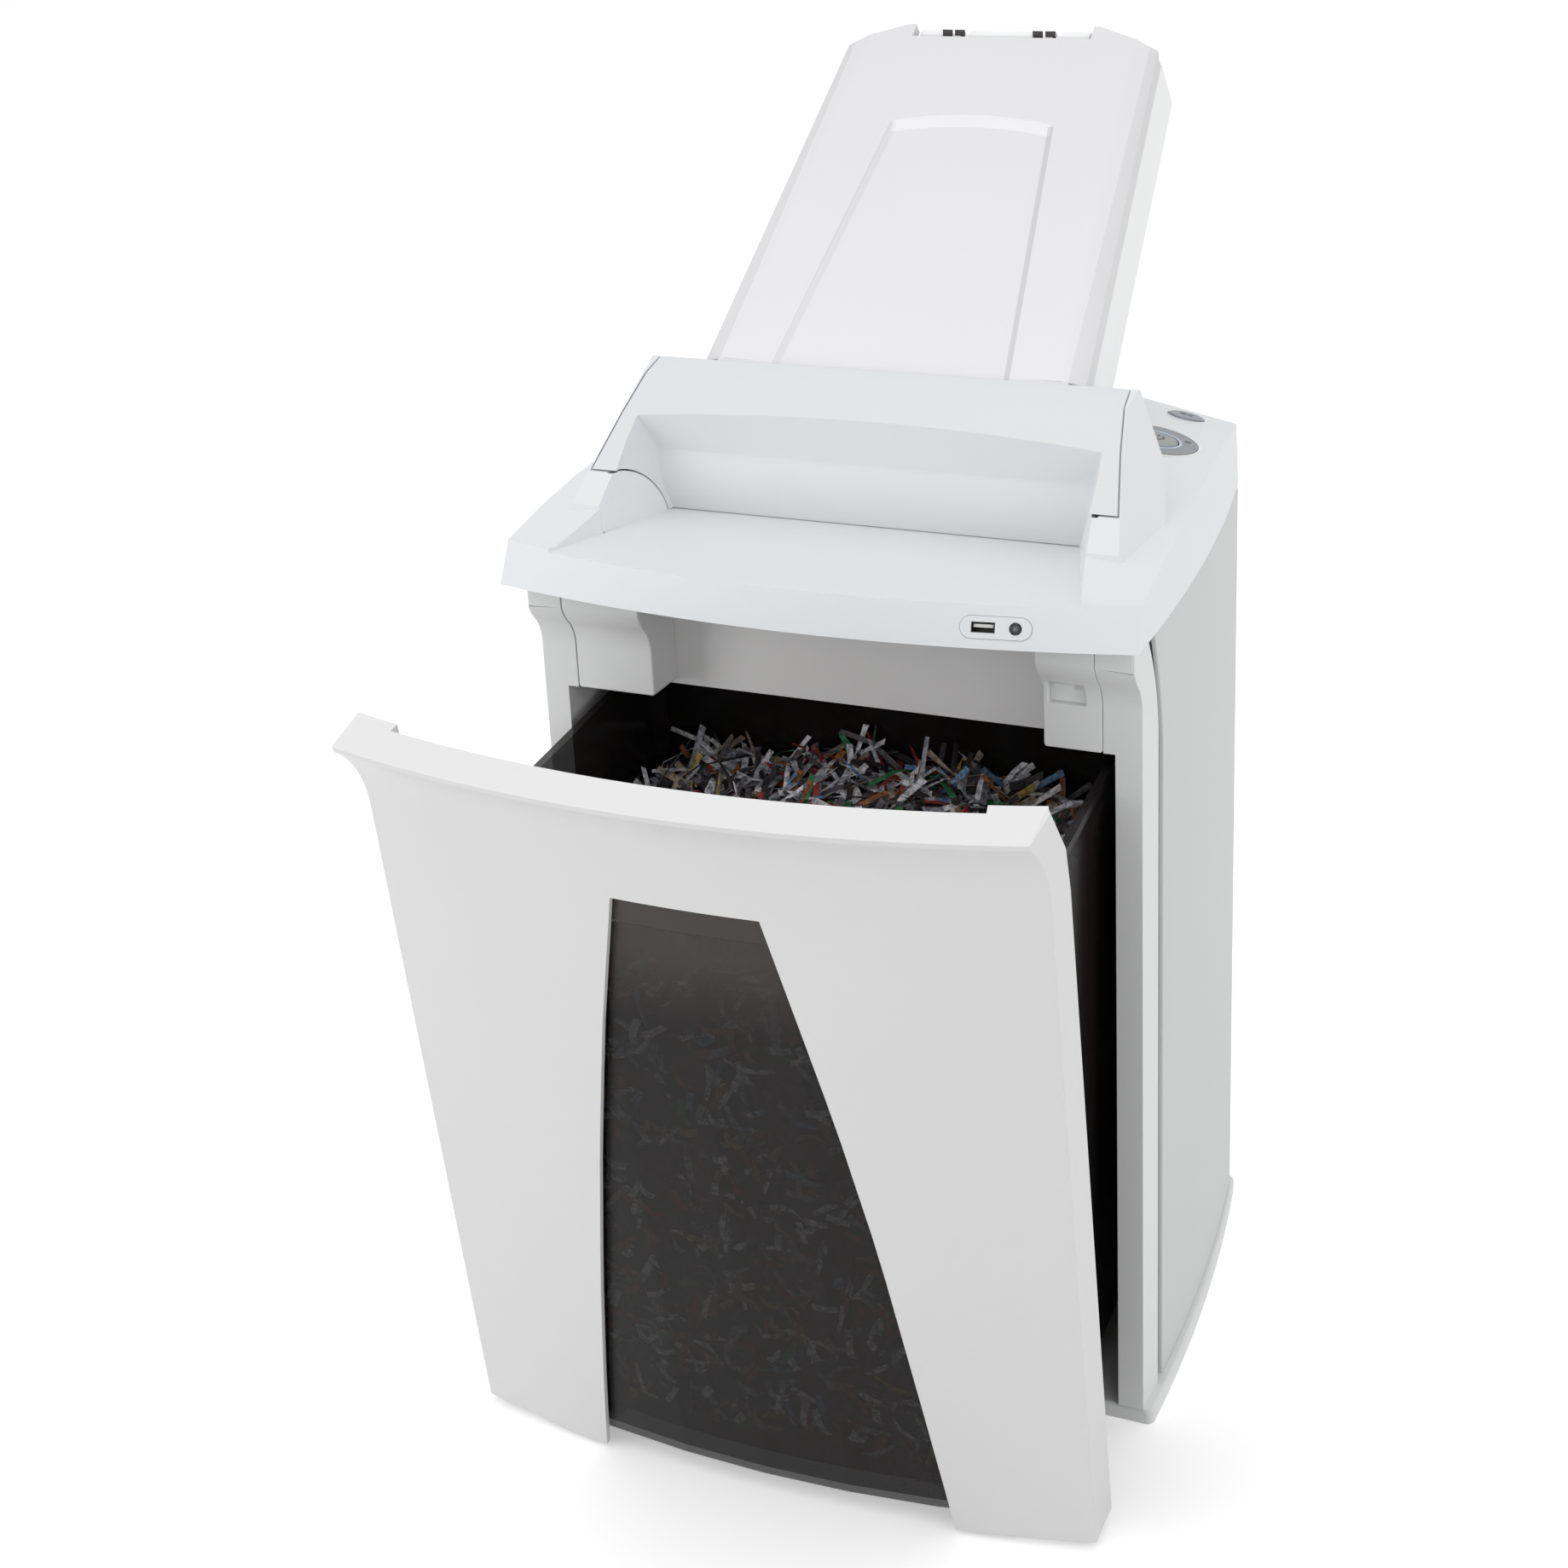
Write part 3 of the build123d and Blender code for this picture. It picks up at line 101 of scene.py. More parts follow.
def makeMouldGrain():
    group, src, out = newGroup(
        "mouldGrain",
        [("Grain Scale", "NodeSocketFloat", 900.0), ("Tone", "NodeSocketColor", (0.8, 0.8, 0.8, 1)),
         ("Tone Spread", "NodeSocketFloat", 0.03), ("Rough", "NodeSocketFloat", 0.45),
         ("Rough Spread", "NodeSocketFloat", 0.08)],
        [("Color", "NodeSocketColor"), ("Roughness", "NodeSocketFloat"), ("Height", "NodeSocketFloat")])
    coord = group.nodes.new("ShaderNodeTexCoord").outputs["Object"]
    grain = noiseNode(group, coord, src.outputs["Grain Scale"], grainLook["detail"])
    cloud = noiseNode(group, coord, grainLook["cloudScale"], grainLook["cloudDetail"])
    drift = mathNode(group, "MULTIPLY", mathNode(group, "SUBTRACT", cloud, 0.5), src.outputs["Tone Spread"])
    tint = group.nodes.new("ShaderNodeVectorMath")
    tint.operation = "SCALE"
    link(group, src.outputs["Tone"], tint.inputs[0])
    link(group, mathNode(group, "ADD", drift, 1.0), tint.inputs["Scale"])
    link(group, tint.outputs[0], out.inputs["Color"])
    roughDrift = mathNode(group, "MULTIPLY", mathNode(group, "SUBTRACT", grain, 0.5),
                          src.outputs["Rough Spread"])
    link(group, mathNode(group, "ADD", roughDrift, src.outputs["Rough"]), out.inputs["Roughness"])
    link(group, grain, out.inputs["Height"])
    return group


mouldGrain = makeMouldGrain()


def newMaterial(name):
    material = bpy.data.materials.new(name)
    material.use_nodes = True
    return material, material.node_tree, material.node_tree.nodes["Principled BSDF"]


def mouldedPlastic(name, tone, rough=0.45, grain=900, bump=0.08, spread=0.03):
    material, tree, shader = newMaterial(name)
    grainNode = tree.nodes.new("ShaderNodeGroup")
    grainNode.node_tree = mouldGrain
    grainNode.inputs["Grain Scale"].default_value = grain
    grainNode.inputs["Tone"].default_value = (*tone, 1)
    grainNode.inputs["Tone Spread"].default_value = spread
    grainNode.inputs["Rough"].default_value = rough
    link(tree, grainNode.outputs["Color"], shader.inputs["Base Color"])
    link(tree, grainNode.outputs["Roughness"], shader.inputs["Roughness"])
    bumpNode = tree.nodes.new("ShaderNodeBump")
    bumpNode.inputs["Strength"].default_value = bump
    bumpNode.inputs["Distance"].default_value = grainLook["bumpDistance"]
    link(tree, grainNode.outputs["Height"], bumpNode.inputs["Height"])
    link(tree, bumpNode.outputs["Normal"], shader.inputs["Normal"])
    return material


def localCoord(tree, place):
    mapping = tree.nodes.new("ShaderNodeMapping")
    mapping.vector_type = "TEXTURE"
    mapping.inputs["Location"].default_value = place.to_translation()
    mapping.inputs["Rotation"].default_value = place.to_euler()
    link(tree, tree.nodes.new("ShaderNodeTexCoord").outputs["Object"], mapping.inputs["Vector"])
    parts = tree.nodes.new("ShaderNodeSeparateXYZ")
    link(tree, mapping.outputs["Vector"], parts.inputs[0])
    return parts.outputs


def scaleTone(tree, level):
    colour = tree.nodes["Principled BSDF"].inputs["Base Color"]
    tint = tree.nodes.new("ShaderNodeVectorMath")
    tint.operation = "SCALE"
    link(tree, colour.links[0].from_socket, tint.inputs[0])
    link(tree, level, tint.inputs["Scale"])
    link(tree, tint.outputs[0], colour)


def toneMix(tree, mask, toneLow, toneHigh):
    ramp = tree.nodes.new("ShaderNodeValToRGB")
    ramp.color_ramp.elements[0].color = (*toneLow, 1)
    ramp.color_ramp.elements[1].color = (*toneHigh, 1)
    link(tree, mask, ramp.inputs[0])
    return ramp.outputs[0]


# frames at rest of the bin, the port plate and the tray lid
binPlace = Matrix.Translation((0, -0.26239, 0.005246)) @ Matrix.Rotation(math.radians(8), 4, "X")
portNormal = Vector((0.146, -1, 0.407)).normalized()
portAcross = Vector((1, 0.146, 0)).normalized()
portPlace = (Matrix.Translation((0.120, -0.1812, 0.5285))
             @ Matrix((portAcross, portNormal.cross(portAcross), portNormal)).transposed().to_4x4())
lidPlace = Matrix.Translation((0, -0.03434, 0.62674)) @ Matrix.Rotation(math.radians(39.36), 4, "X")

# see-through front wall behind the window, paler and cloudier up towards the rim, and darker sides and back
smoke = {"tone": (0.013, 0.0105, 0.0100), "rough": 0.22, "grain": 600, "bump": 0.02, "spread": 0.1,
         "gloss": 0.3, "sideAlpha": 0.80, "frontAlpha": 0.60, "frontEnd": 0.004, "hazeLow": 0.335,
         "hazeHigh": 0.385, "hazeAlpha": 0.28, "hazeTone": 2.6}


def smokedPlastic():
    material = mouldedPlastic("smokedPlastic", smoke["tone"], smoke["rough"], smoke["grain"], smoke["bump"],
                              smoke["spread"])
    tree = material.node_tree
    shader = tree.nodes["Principled BSDF"]
    depth, height = localCoord(tree, binPlace)[1:]
    shader.inputs["Specular IOR Level"].default_value = smoke["gloss"]
    side = mathNode(tree, "GREATER_THAN", depth, smoke["frontEnd"])
    rise = tree.nodes.new("ShaderNodeMapRange")
    rise.inputs["From Min"].default_value = smoke["hazeLow"]
    rise.inputs["From Max"].default_value = smoke["hazeHigh"]
    link(tree, height, rise.inputs["Value"])
    haze = mathNode(tree, "MULTIPLY", rise.outputs["Result"], mathNode(tree, "SUBTRACT", 1.0, side))
    scaleTone(tree, mathNode(tree, "MULTIPLY_ADD", haze, smoke["hazeTone"], 1.0))
    alpha = mathNode(tree, "MULTIPLY_ADD", side, smoke["sideAlpha"] - smoke["frontAlpha"],
                     smoke["frontAlpha"])
    link(tree, mathNode(tree, "MULTIPLY_ADD", haze, smoke["hazeAlpha"], alpha), shader.inputs["Alpha"])
    return material


# black shell round a pale tongue
port = {"centre": -0.007, "tongueHalf": 0.0056, "tongueRise": 0.0009, "tongueThick": 0.00095,
        "shellTone": (0.015, 0.012, 0.011), "tongueTone": (0.80, 0.80, 0.79), "shellRough": 0.35,
        "tongueRougher": 0.15}


def portFinish():
    material, tree, shader = newMaterial("portFinish")
    across, rise = localCoord(tree, portPlace)[:2]
    wide = mathNode(tree, "COMPARE", across, port["centre"], port["tongueHalf"])
    thick = mathNode(tree, "COMPARE", rise, port["tongueRise"], port["tongueThick"])
    tongue = mathNode(tree, "MULTIPLY", wide, thick)
    link(tree, toneMix(tree, tongue, port["shellTone"], port["tongueTone"]), shader.inputs["Base Color"])
    link(tree, mathNode(tree, "MULTIPLY_ADD", tongue, port["tongueRougher"], port["shellRough"]),
         shader.inputs["Roughness"])
    return material


# white lid with duller borders, painted shade darkening it up towards the hinge, and a sunk panel with
# painted shade on its side edges and a painted highlight on its top edge
lid = {"tone": (0.815, 0.81, 0.825), "rough": 0.4, "grain": 1200, "panelHalf": 0.074, "panelTaper": -0.1168,
       "panelEdge": 0.0019, "panelEnd": 0.188, "panelTop": 0.183, "bandHalf": 0.1117, "bandTaper": -0.049,
       "arcTop": 0.1953, "arcBow": 2.06, "arcHalf": 0.0042, "lowTone": 1.02, "paintedShadeUp": -0.33, "bandTone": -0.10,
       "leftEdgeShade": -0.05, "rightEdgeShade": -0.20, "topEdgeHighlight": 0.12, "raised": 0.0002, "sink": -0.8,
       "topSlope": -2.0, "slack": 0.0005, "topSlack": 0.008}


def lidFinish():
    material = mouldedPlastic("lidWhite", lid["tone"], lid["rough"], lid["grain"])
    tree = material.node_tree
    across, along = localCoord(tree, lidPlace)[:2]
    border = mathNode(tree, "GREATER_THAN", mathNode(tree, "ABSOLUTE", across),
                      mathNode(tree, "MULTIPLY_ADD", along, lid["bandTaper"], lid["bandHalf"]))
    # masks for the panel's side edges, which carry painted shade, and its top edge, which carries a painted
    # highlight
    edgeAt = mathNode(tree, "MULTIPLY_ADD", along, lid["panelTaper"], lid["panelHalf"])
    below = mathNode(tree, "LESS_THAN", along, lid["panelEnd"])
    right = mathNode(tree, "MULTIPLY", mathNode(tree, "COMPARE", across, edgeAt, lid["panelEdge"]), below)
    mirrored = mathNode(tree, "MULTIPLY", across, -1.0)
    left = mathNode(tree, "MULTIPLY", mathNode(tree, "COMPARE", mirrored, edgeAt, lid["panelEdge"]), below)
    arcAt = mathNode(tree, "MULTIPLY_ADD", mathNode(tree, "MULTIPLY", across, across), -lid["arcBow"],
                     lid["arcTop"] - lid["arcHalf"])
    inside = mathNode(tree, "LESS_THAN", mathNode(tree, "ABSOLUTE", across), edgeAt)
    arc = mathNode(tree, "MULTIPLY", mathNode(tree, "COMPARE", along, arcAt, lid["arcHalf"]), inside)
    # painted shade darker up the lid, then the borders' tone and the painted edge shade and highlight
    level = mathNode(tree, "MULTIPLY_ADD", along, lid["paintedShadeUp"], lid["lowTone"])
    for mask, change in ((border, lid["bandTone"]), (right, lid["rightEdgeShade"]), (left, lid["leftEdgeShade"]),
                         (arc, lid["topEdgeHighlight"])):
        level = mathNode(tree, "MULTIPLY", level, mathNode(tree, "MULTIPLY_ADD", mask, change, 1.0))
    scaleTone(tree, level)
    return material


# panel with a whiter top: painted light on its upward face
panel = {"tone": (0.70, 0.705, 0.70), "rough": 0.38, "grain": 700, "topLevel": 0.4885, "topPaintedLight": 0.2}


def panelFinish():
    material = mouldedPlastic("panelWhite", panel["tone"], panel["rough"], panel["grain"])
    tree = material.node_tree
    # the top is painted lighter: painted light falling from above
    top = mathNode(tree, "GREATER_THAN", localCoord(tree, binPlace)[2], panel["topLevel"])
    scaleTone(tree, mathNode(tree, "MULTIPLY_ADD", top, panel["topPaintedLight"], 1.0))
    return material


# black button with a paler middle: a painted glint standing for its reflection
release = {"centre": 0.011, "glintRadius": 0.0022, "glintTone": (0.20, 0.21, 0.225),
           "tone": (0.018, 0.018, 0.019), "rough": 0.3}


def releaseFinish():
    material, tree, shader = newMaterial("releaseFinish")
    across, rise = localCoord(tree, portPlace)[:2]
    # painted glint: the tone pales towards the button's middle
    offset = mathNode(tree, "SUBTRACT", across, release["centre"])
    reach = mathNode(tree, "SQRT", mathNode(tree, "ADD", mathNode(tree, "MULTIPLY", offset, offset),
                                            mathNode(tree, "MULTIPLY", rise, rise)))
    share = mathNode(tree, "DIVIDE", reach, release["glintRadius"])
    link(tree, toneMix(tree, share, release["glintTone"], release["tone"]), shader.inputs["Base Color"])
    shader.inputs["Roughness"].default_value = release["rough"]
    return material


# metal with fine streaks along the shafts
metal = {"stretch": (40, 900, 900), "darkest": 0.8, "roughSpread": 0.2}


def turnedMetal(name, tone, rough):
    material, tree, shader = newMaterial(name)
    shader.inputs["Metallic"].default_value = 1
    stretch = tree.nodes.new("ShaderNodeMapping")
    stretch.inputs["Scale"].default_value = metal["stretch"]
    link(tree, tree.nodes.new("ShaderNodeTexCoord").outputs["Object"], stretch.inputs["Vector"])
    lines = noiseNode(tree, stretch.outputs["Vector"], 1)
    dark = [c * metal["darkest"] for c in tone]
    link(tree, toneMix(tree, lines, dark, tone), shader.inputs["Base Color"])
    link(tree, mathNode(tree, "MULTIPLY_ADD", lines, metal["roughSpread"], rough), shader.inputs["Roughness"])
    return material


# strips of printed paper: one tone for each strip, broken up by specks of print
stripTones = [
    (0.00, (0.85, 0.85, 0.90)), (0.17, (0.40, 0.41, 0.46)), (0.30, (0.12, 0.11, 0.12)),
    (0.45, (0.88, 0.87, 0.87)), (0.53, (0.025, 0.020, 0.020)), (0.74, (0.40, 0.32, 0.25)),
    (0.81, (0.40, 0.05, 0.04)), (0.87, (0.18, 0.34, 0.55)), (0.91, (0.42, 0.16, 0.05)),
    (0.955, (0.52, 0.40, 0.12)), (0.98, (0.05, 0.28, 0.12))]
specks = {"low": 0.44, "high": 0.56, "darkest": 0.5, "scale": 330, "detail": 3, "rough": 0.7}


def printedPaper():
    material, tree, shader = newMaterial("printedPaper")
    tone = tree.nodes.new("ShaderNodeAttribute")
    tone.attribute_name = "tone"
    ramp = tree.nodes.new("ShaderNodeValToRGB")
    ramp.color_ramp.interpolation = "CONSTANT"
    elements = ramp.color_ramp.elements
    elements.remove(elements[1])
    for index, (place, colour) in enumerate(stripTones):
        element = elements[0] if index == 0 else elements.new(place)
        element.position = place
        element.color = (*colour, 1)
    link(tree, tone.outputs["Fac"], ramp.inputs[0])
    coord = tree.nodes.new("ShaderNodeTexCoord").outputs["Object"]
    level = tree.nodes.new("ShaderNodeMapRange")
    level.inputs["From Min"].default_value = specks["low"]
    level.inputs["From Max"].default_value = specks["high"]
    level.inputs["To Min"].default_value = specks["darkest"]
    link(tree, noiseNode(tree, coord, specks["scale"], specks["detail"]), level.inputs["Value"])
    link(tree, ramp.outputs[0], shader.inputs["Base Color"])
    scaleTone(tree, level.outputs["Result"])
    shader.inputs["Roughness"].default_value = specks["rough"]
    return material


# paper in the middle of the heap, painted dark: painted shade deep among the strips
coreShade = {"dark": (0.006, 0.005, 0.005), "pale": (0.09, 0.08, 0.075), "scale": 160, "detail": 4,
          "rough": 0.85}


def packedPaper():
    material, tree, shader = newMaterial("packedPaper")
    coord = tree.nodes.new("ShaderNodeTexCoord").outputs["Object"]
    # painted shade: the core is near black
    lumps = noiseNode(tree, coord, coreShade["scale"], coreShade["detail"])
    link(tree, toneMix(tree, lumps, coreShade["dark"], coreShade["pale"]), shader.inputs["Base Color"])
    shader.inputs["Roughness"].default_value = coreShade["rough"]
    return material


# tone, roughness, and where they differ from the rest the scale and depth of the grain
plastics = {
    "headWhite": ((0.805, 0.82, 0.835), 0.42),
    "flapWhite": ((0.755, 0.77, 0.785), 0.42),
    "cabinetWhite": ((0.78, 0.785, 0.785), 0.5, 700),
    # side and rear panels: the cabinet's white darkened, painted shade on faces turned from the lamps
    "sideWhiteShaded": ((0.625, 0.635, 0.637), 0.5, 700),
    # cutter wall: paler than the cabinet's white, painted light in the shade under the head
    "wallWhiteLit": ((0.90, 0.89, 0.885), 0.5, 700),
    # tray sides: whiter than the lid, painted light on the sides facing the right lamp
    "traySideWhiteLit": ((0.94, 0.945, 0.95), 0.4, 1200),
    # bright rings that paint the lit recess edges as highlights
    "rimHighlightWhite": ((0.93, 0.94, 0.95), 0.3),
    "powerGrey": ((0.28, 0.293, 0.31), 0.35),
    "buttonGrey": ((0.215, 0.236, 0.27), 0.35),
    "bezelGrey": ((0.25, 0.27, 0.295), 0.4),
    "ringBlue": ((0.48, 0.60, 0.74), 0.3),
    # dark print of the signs, also the painted shade in the hinge gaps
    "signDarkAndShade": ((0.03, 0.025, 0.028), 0.4),
    "stripBrown": ((0.022, 0.014, 0.0125), 0.35),
    "blackPlastic": ((0.02, 0.02, 0.021), 0.4),
    "motorBlack": ((0.05, 0.05, 0.055), 0.35),
    "boardGreen": ((0.03, 0.13, 0.06), 0.4),
    "tyreRubber": ((0.03, 0.03, 0.03), 0.75, 300, 0.2),
}
finishes = {name: mouldedPlastic(name, *values) for name, values in plastics.items()}
finishes.update({
    "panelWhite": panelFinish(),
    "lidWhite": lidFinish(),
    "smokedPlastic": smokedPlastic(),
    "portFinish": portFinish(),
    "releaseFinish": releaseFinish(),
    "brightSteel": turnedMetal("brightSteel", (0.62, 0.62, 0.63), 0.2),
    "bushBronze": turnedMetal("bushBronze", (0.55, 0.38, 0.2), 0.3),
    "printedPaper": printedPaper(),
    "packedPaper": packedPaper(),
})
nodeFinish = {
    "headWhite": ["head_shell", "port_plate"],
    "flapWhite": ["feed_flap"],
    "panelWhite": ["front_panel"],
    "cabinetWhite": ["base_plate", "front_column_left", "front_column_right", "catch_block_left",
                     "catch_block_right", "bin_sensor"],
    "sideWhiteShaded": ["side_panel_left", "side_panel_right", "rear_panel"],
    "wallWhiteLit": ["cutter_wall"],
    "lidWhite": ["tray_lid"],
    "traySideWhiteLit": ["tray_base"],
    "bezelGrey": ["control_bezel"],
    "powerGrey": ["power_button"],
    "buttonGrey": ["reverse_button"],
    "portFinish": ["usb_socket"],
    "releaseFinish": ["release_button"],
    "blackPlastic": ["power_inlet", "cutter_floor", "throat_guide", "bin_lugs", "bin_skid_left",
                     "bin_skid_right"],
    "smokedPlastic": ["bin_tub"],
    "tyreRubber": ["rubber_pads", "feed_tyres"],
    "bushBronze": ["shaft_bushes"],
    "motorBlack": ["cutter_motor", "feed_motor"],
    "boardGreen": ["control_board"],
}
finishOf = {node: finish for finish, members in nodeFinish.items() for node in members}
for name, obj in nodes.items():
    obj.data.materials.clear()
    obj.data.materials.append(finishes[finishOf.get(name, "brightSteel")])
print("finishes set")

# edges of the visible mouldings, rounded on a merged copy of each solid
softEdges = {
    "head_shell": 0.0011, "feed_flap": 0.0009, "tray_base": 0.0012, "tray_lid": 0.0012, "front_panel": 0.0009,
    "base_plate": 0.0008, "front_column_left": 0.0012, "front_column_right": 0.0012,
    "side_panel_left": 0.0008, "side_panel_right": 0.0008, "rear_panel": 0.0006, "catch_block_left": 0.0012,
    "catch_block_right": 0.0010, "control_bezel": 0.0004, "power_button": 0.0004, "reverse_button": 0.0004,
    "port_plate": 0.0003, "release_button": 0.0006}
softAngles = {"tray_lid": 20}
soften = {"merge": 2e-5, "flat": 0.3, "segments": 2, "angle": 28, "weight": 80}
hub = {"y": -0.107, "z": 0.540, "radius": 0.0175, "half": 0.150, "halfNew": 0.1507, "slack": 0.0002}


# the lid's panel sinks below its border instead of standing above it
def sinkPanel(work):
    away = lidPlace.inverted()
    for vertex in work.verts:
        spot = away @ vertex.co
        edge = lid["panelHalf"] + lid["panelEdge"] + lid["panelTaper"] * spot.y + lid["slack"]
        end = lid["panelEnd"] + lid["topSlack"]
        if spot.z > lid["raised"] and abs(spot.x) < edge and spot.y < end:
            if spot.y > lid["panelTop"]:
                spot.y += lid["topSlope"] * spot.z
            spot.z *= lid["sink"]
            vertex.co = lidPlace @ spot


# the flap's hubs end a little nearer the cheeks
def growHubs(work):
    for vertex in work.verts:
        reach = math.hypot(vertex.co.y - hub["y"], vertex.co.z - hub["z"])
        if reach < hub["radius"] and abs(abs(vertex.co.x) - hub["half"]) < hub["slack"]:
            vertex.co.x = math.copysign(hub["halfNew"], vertex.co.x)


# outline of the panel's window: heights up the bin, and how far the edge stands to each side there
window = {"oldTop": 0.397, "oldHalf": 0.0445, "oldReach": 0.1135, "top": 0.4173, "bow": 0.848,
          "front": -0.0245, "back": -0.008, "slack": 0.0005,
          "left": [(0, -0.1085), (0.0497, -0.1029), (0.135, -0.0914), (0.2319, -0.0763), (0.3229, -0.0603),
                   (0.4173, -0.0406)],
          "right": [(0, 0.120), (0.0216, 0.1171), (0.0995, 0.1064), (0.2029, 0.0917), (0.2864, 0.0762),
                    (0.3474, 0.0627), (0.4173, 0.0468)]}


def edgeAtHeight(table, height):
    for (low, start), (high, end) in zip(table, table[1:]):
        if height <= high:
            return start + (end - start) * (height - low) / (high - low)
    return table[-1][1]


# the window's edge moves along the bowed panel to that outline
def moveWindow(work):
    away = binPlace.inverted()
    for vertex in work.verts:
        spot = away @ vertex.co
        if (abs(spot.x) > window["oldReach"] or spot.z > window["oldTop"] + window["slack"]
                or not window["front"] < spot.y < window["back"]):
            continue
        across = spot.x
        if spot.z > window["oldTop"] - window["slack"]:
            share = (across + window["oldHalf"]) / (2 * window["oldHalf"])
            left, right = window["left"][-1][1], window["right"][-1][1]
            spot.x = left + share * (right - left)
            spot.z = window["top"]
        else:
            spot.x = edgeAtHeight(window["right" if across > 0 else "left"], spot.z)
        spot.y += (spot.x ** 2 - across ** 2) / (2 * window["bow"])
        vertex.co = binPlace @ spot


reshapes = {"tray_lid": sinkPanel, "feed_flap": growHubs, "front_panel": moveWindow}


def softened(node, width, angle):
    mesh = nodes[node].data.copy()
    work = bmesh.new()
    work.from_mesh(mesh)
    bmesh.ops.remove_doubles(work, verts=work.verts, dist=soften["merge"])
    flat = math.radians(soften["flat"])
    bmesh.ops.dissolve_limit(work, angle_limit=flat, verts=work.verts, edges=work.edges)
    if node in reshapes:
        reshapes[node](work)
    for face in work.faces:
        face.smooth = True
    work.to_mesh(mesh)
    work.free()
    piece = bpy.data.objects.new(node + "Soft", mesh)
    scene.collection.objects.link(piece)
    bevel = piece.modifiers.new("edges", "BEVEL")
    bevel.width = width
    bevel.segments = soften["segments"]
    bevel.limit_method = "ANGLE"
    bevel.angle_limit = math.radians(angle)
    bevel.use_clamp_overlap = True
    weighted = piece.modifiers.new("normals", "WEIGHTED_NORMAL")
    weighted.weight = soften["weight"]
    graph = bpy.context.evaluated_depsgraph_get()
    result = bpy.data.meshes.new_from_object(piece.evaluated_get(graph))
    piece.modifiers.clear()
    piece.data = result
    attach(piece, bodyOf[node])
    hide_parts(node)


for node, width in softEdges.items():
    softened(node, width, softAngles.get(node, soften["angle"]))
print("edges softened")

# shredded paper: curled strips over the heap's top and front, on a core painted dark as shade, in the bin's
# own frame
tub = {"halfLow": 0.160, "halfTop": 0.169, "taper": 0.008, "taperDepth": 0.27, "backLow": 0.250,
       "backTop": 0.258, "low": 0.011, "rim": 0.398, "wall": 0.0025, "front": -0.0185, "bowRadius": 0.8495}
heap = {"height": 0.352, "low": 0.020, "inset": 0.007, "drop": 0.007, "topInset": 0.006, "topDrop": 0.003,
        "midDepth": 0.1, "columns": 26, "rows": 20, "ripple": 0.005, "rippleAcross": 31, "rippleStart": 1.0,
        "rippleBack": 27, "lump": 0.004, "lumpAcross": 63, "lumpBack": 40, "fall": 0.030, "fallStart": -0.085,
        "fallReach": 0.06}
heapFront = {"low": 0.042, "high": 0.338, "inset": 0.012, "gap": 0.0030, "wave": 0.012, "waveAcross": 40,
             "columns": 14, "rows": 8}
strips = {"topDensity": 24000.0, "topTilt": 0.56, "topLength": 1.65, "skirtDensity": 11000.0,
          "skirtTilt": 0.09, "skirtLength": 0.62, "standDensity": 520.0, "standTilt": 1.25,
          "standLength": 2.1, "seed": 5, "skirtSeed": 40.0, "standSeed": 80.0, "margin": 0.0014,
          "stations": 4, "halfThickness": 0.00012, "smallest": (0.6, 0.8, 0.5), "largest": (1.15, 1.15, 1.5)}
# length, width, bend and twist of each kind of strip
stripShapes = [(0.030, 0.0043, 0.0040, 0.5), (0.040, 0.0038, -0.0070, 1.2), (0.024, 0.0047, 0.0025, -0.4),
               (0.048, 0.0036, 0.0110, -1.0), (0.028, 0.0045, 0.0008, 0.2), (0.036, 0.0041, -0.0045, 2.0)]
tubGrow = (tub["halfTop"] - tub["halfLow"]) / (tub["rim"] - tub["low"])
tubBackGrow = (tub["backTop"] - tub["backLow"]) / (tub["rim"] - tub["low"])


def tubSide(y, z, inset):
    taper = tub["taper"] * (y - tub["front"]) / tub["taperDepth"]
    return tub["halfLow"] + tubGrow * (z - tub["low"]) - taper - tub["wall"] - inset


def tubFront(x, inset):
    return tub["front"] + x * x / (2 * tub["bowRadius"]) + tub["wall"] + inset


def tubBack(z, inset):
    return tub["backLow"] + tubBackGrow * (z - tub["low"]) - tub["wall"] - inset


def heapHeight(x, y):
    wave = math.sin(heap["rippleAcross"] * x + heap["rippleStart"])
    ripple = heap["ripple"] * wave * math.cos(heap["rippleBack"] * y)
    lump = heap["lump"] * math.sin(heap["lumpAcross"] * x - heap["lumpBack"] * y)
    leftFall = heap["fall"] * max(0.0, min(1.0, (heap["fallStart"] - x) / heap["fallReach"])) ** 2
    return heap["height"] + (ripple + lump) - leftFall


def newObject(name, points, faces):
    mesh = bpy.data.meshes.new(name)
    mesh.from_pydata(points, [], faces)
    mesh.validate()
    piece = bpy.data.objects.new(name, mesh)
    scene.collection.objects.link(piece)
    return piece


def patch(columns, rows, place):
    points = [place(i / columns, j / rows) for j in range(rows + 1) for i in range(columns + 1)]
    width = columns + 1
    faces = [(j * width + i, j * width + i + 1, (j + 1) * width + i + 1, (j + 1) * width + i)
             for j in range(rows) for i in range(columns)]
    return points, faces


def ringFaces(low, count):
    return [(low + k, low + (k + 1) % count, low + count + (k + 1) % count, low + count + k)
            for k in range(count)]


def heapTopPoint(inset, drop):
    def place(u, v):
        z = heap["height"]
        roughX = (2 * u - 1) * tubSide(heap["midDepth"], z, inset)
        y = tubFront(roughX, inset) + v * (tubBack(z, inset) - tubFront(roughX, inset))
        x = (2 * u - 1) * tubSide(y, z, inset)
        return (x, y, heapHeight(x, y) - drop)
    return place


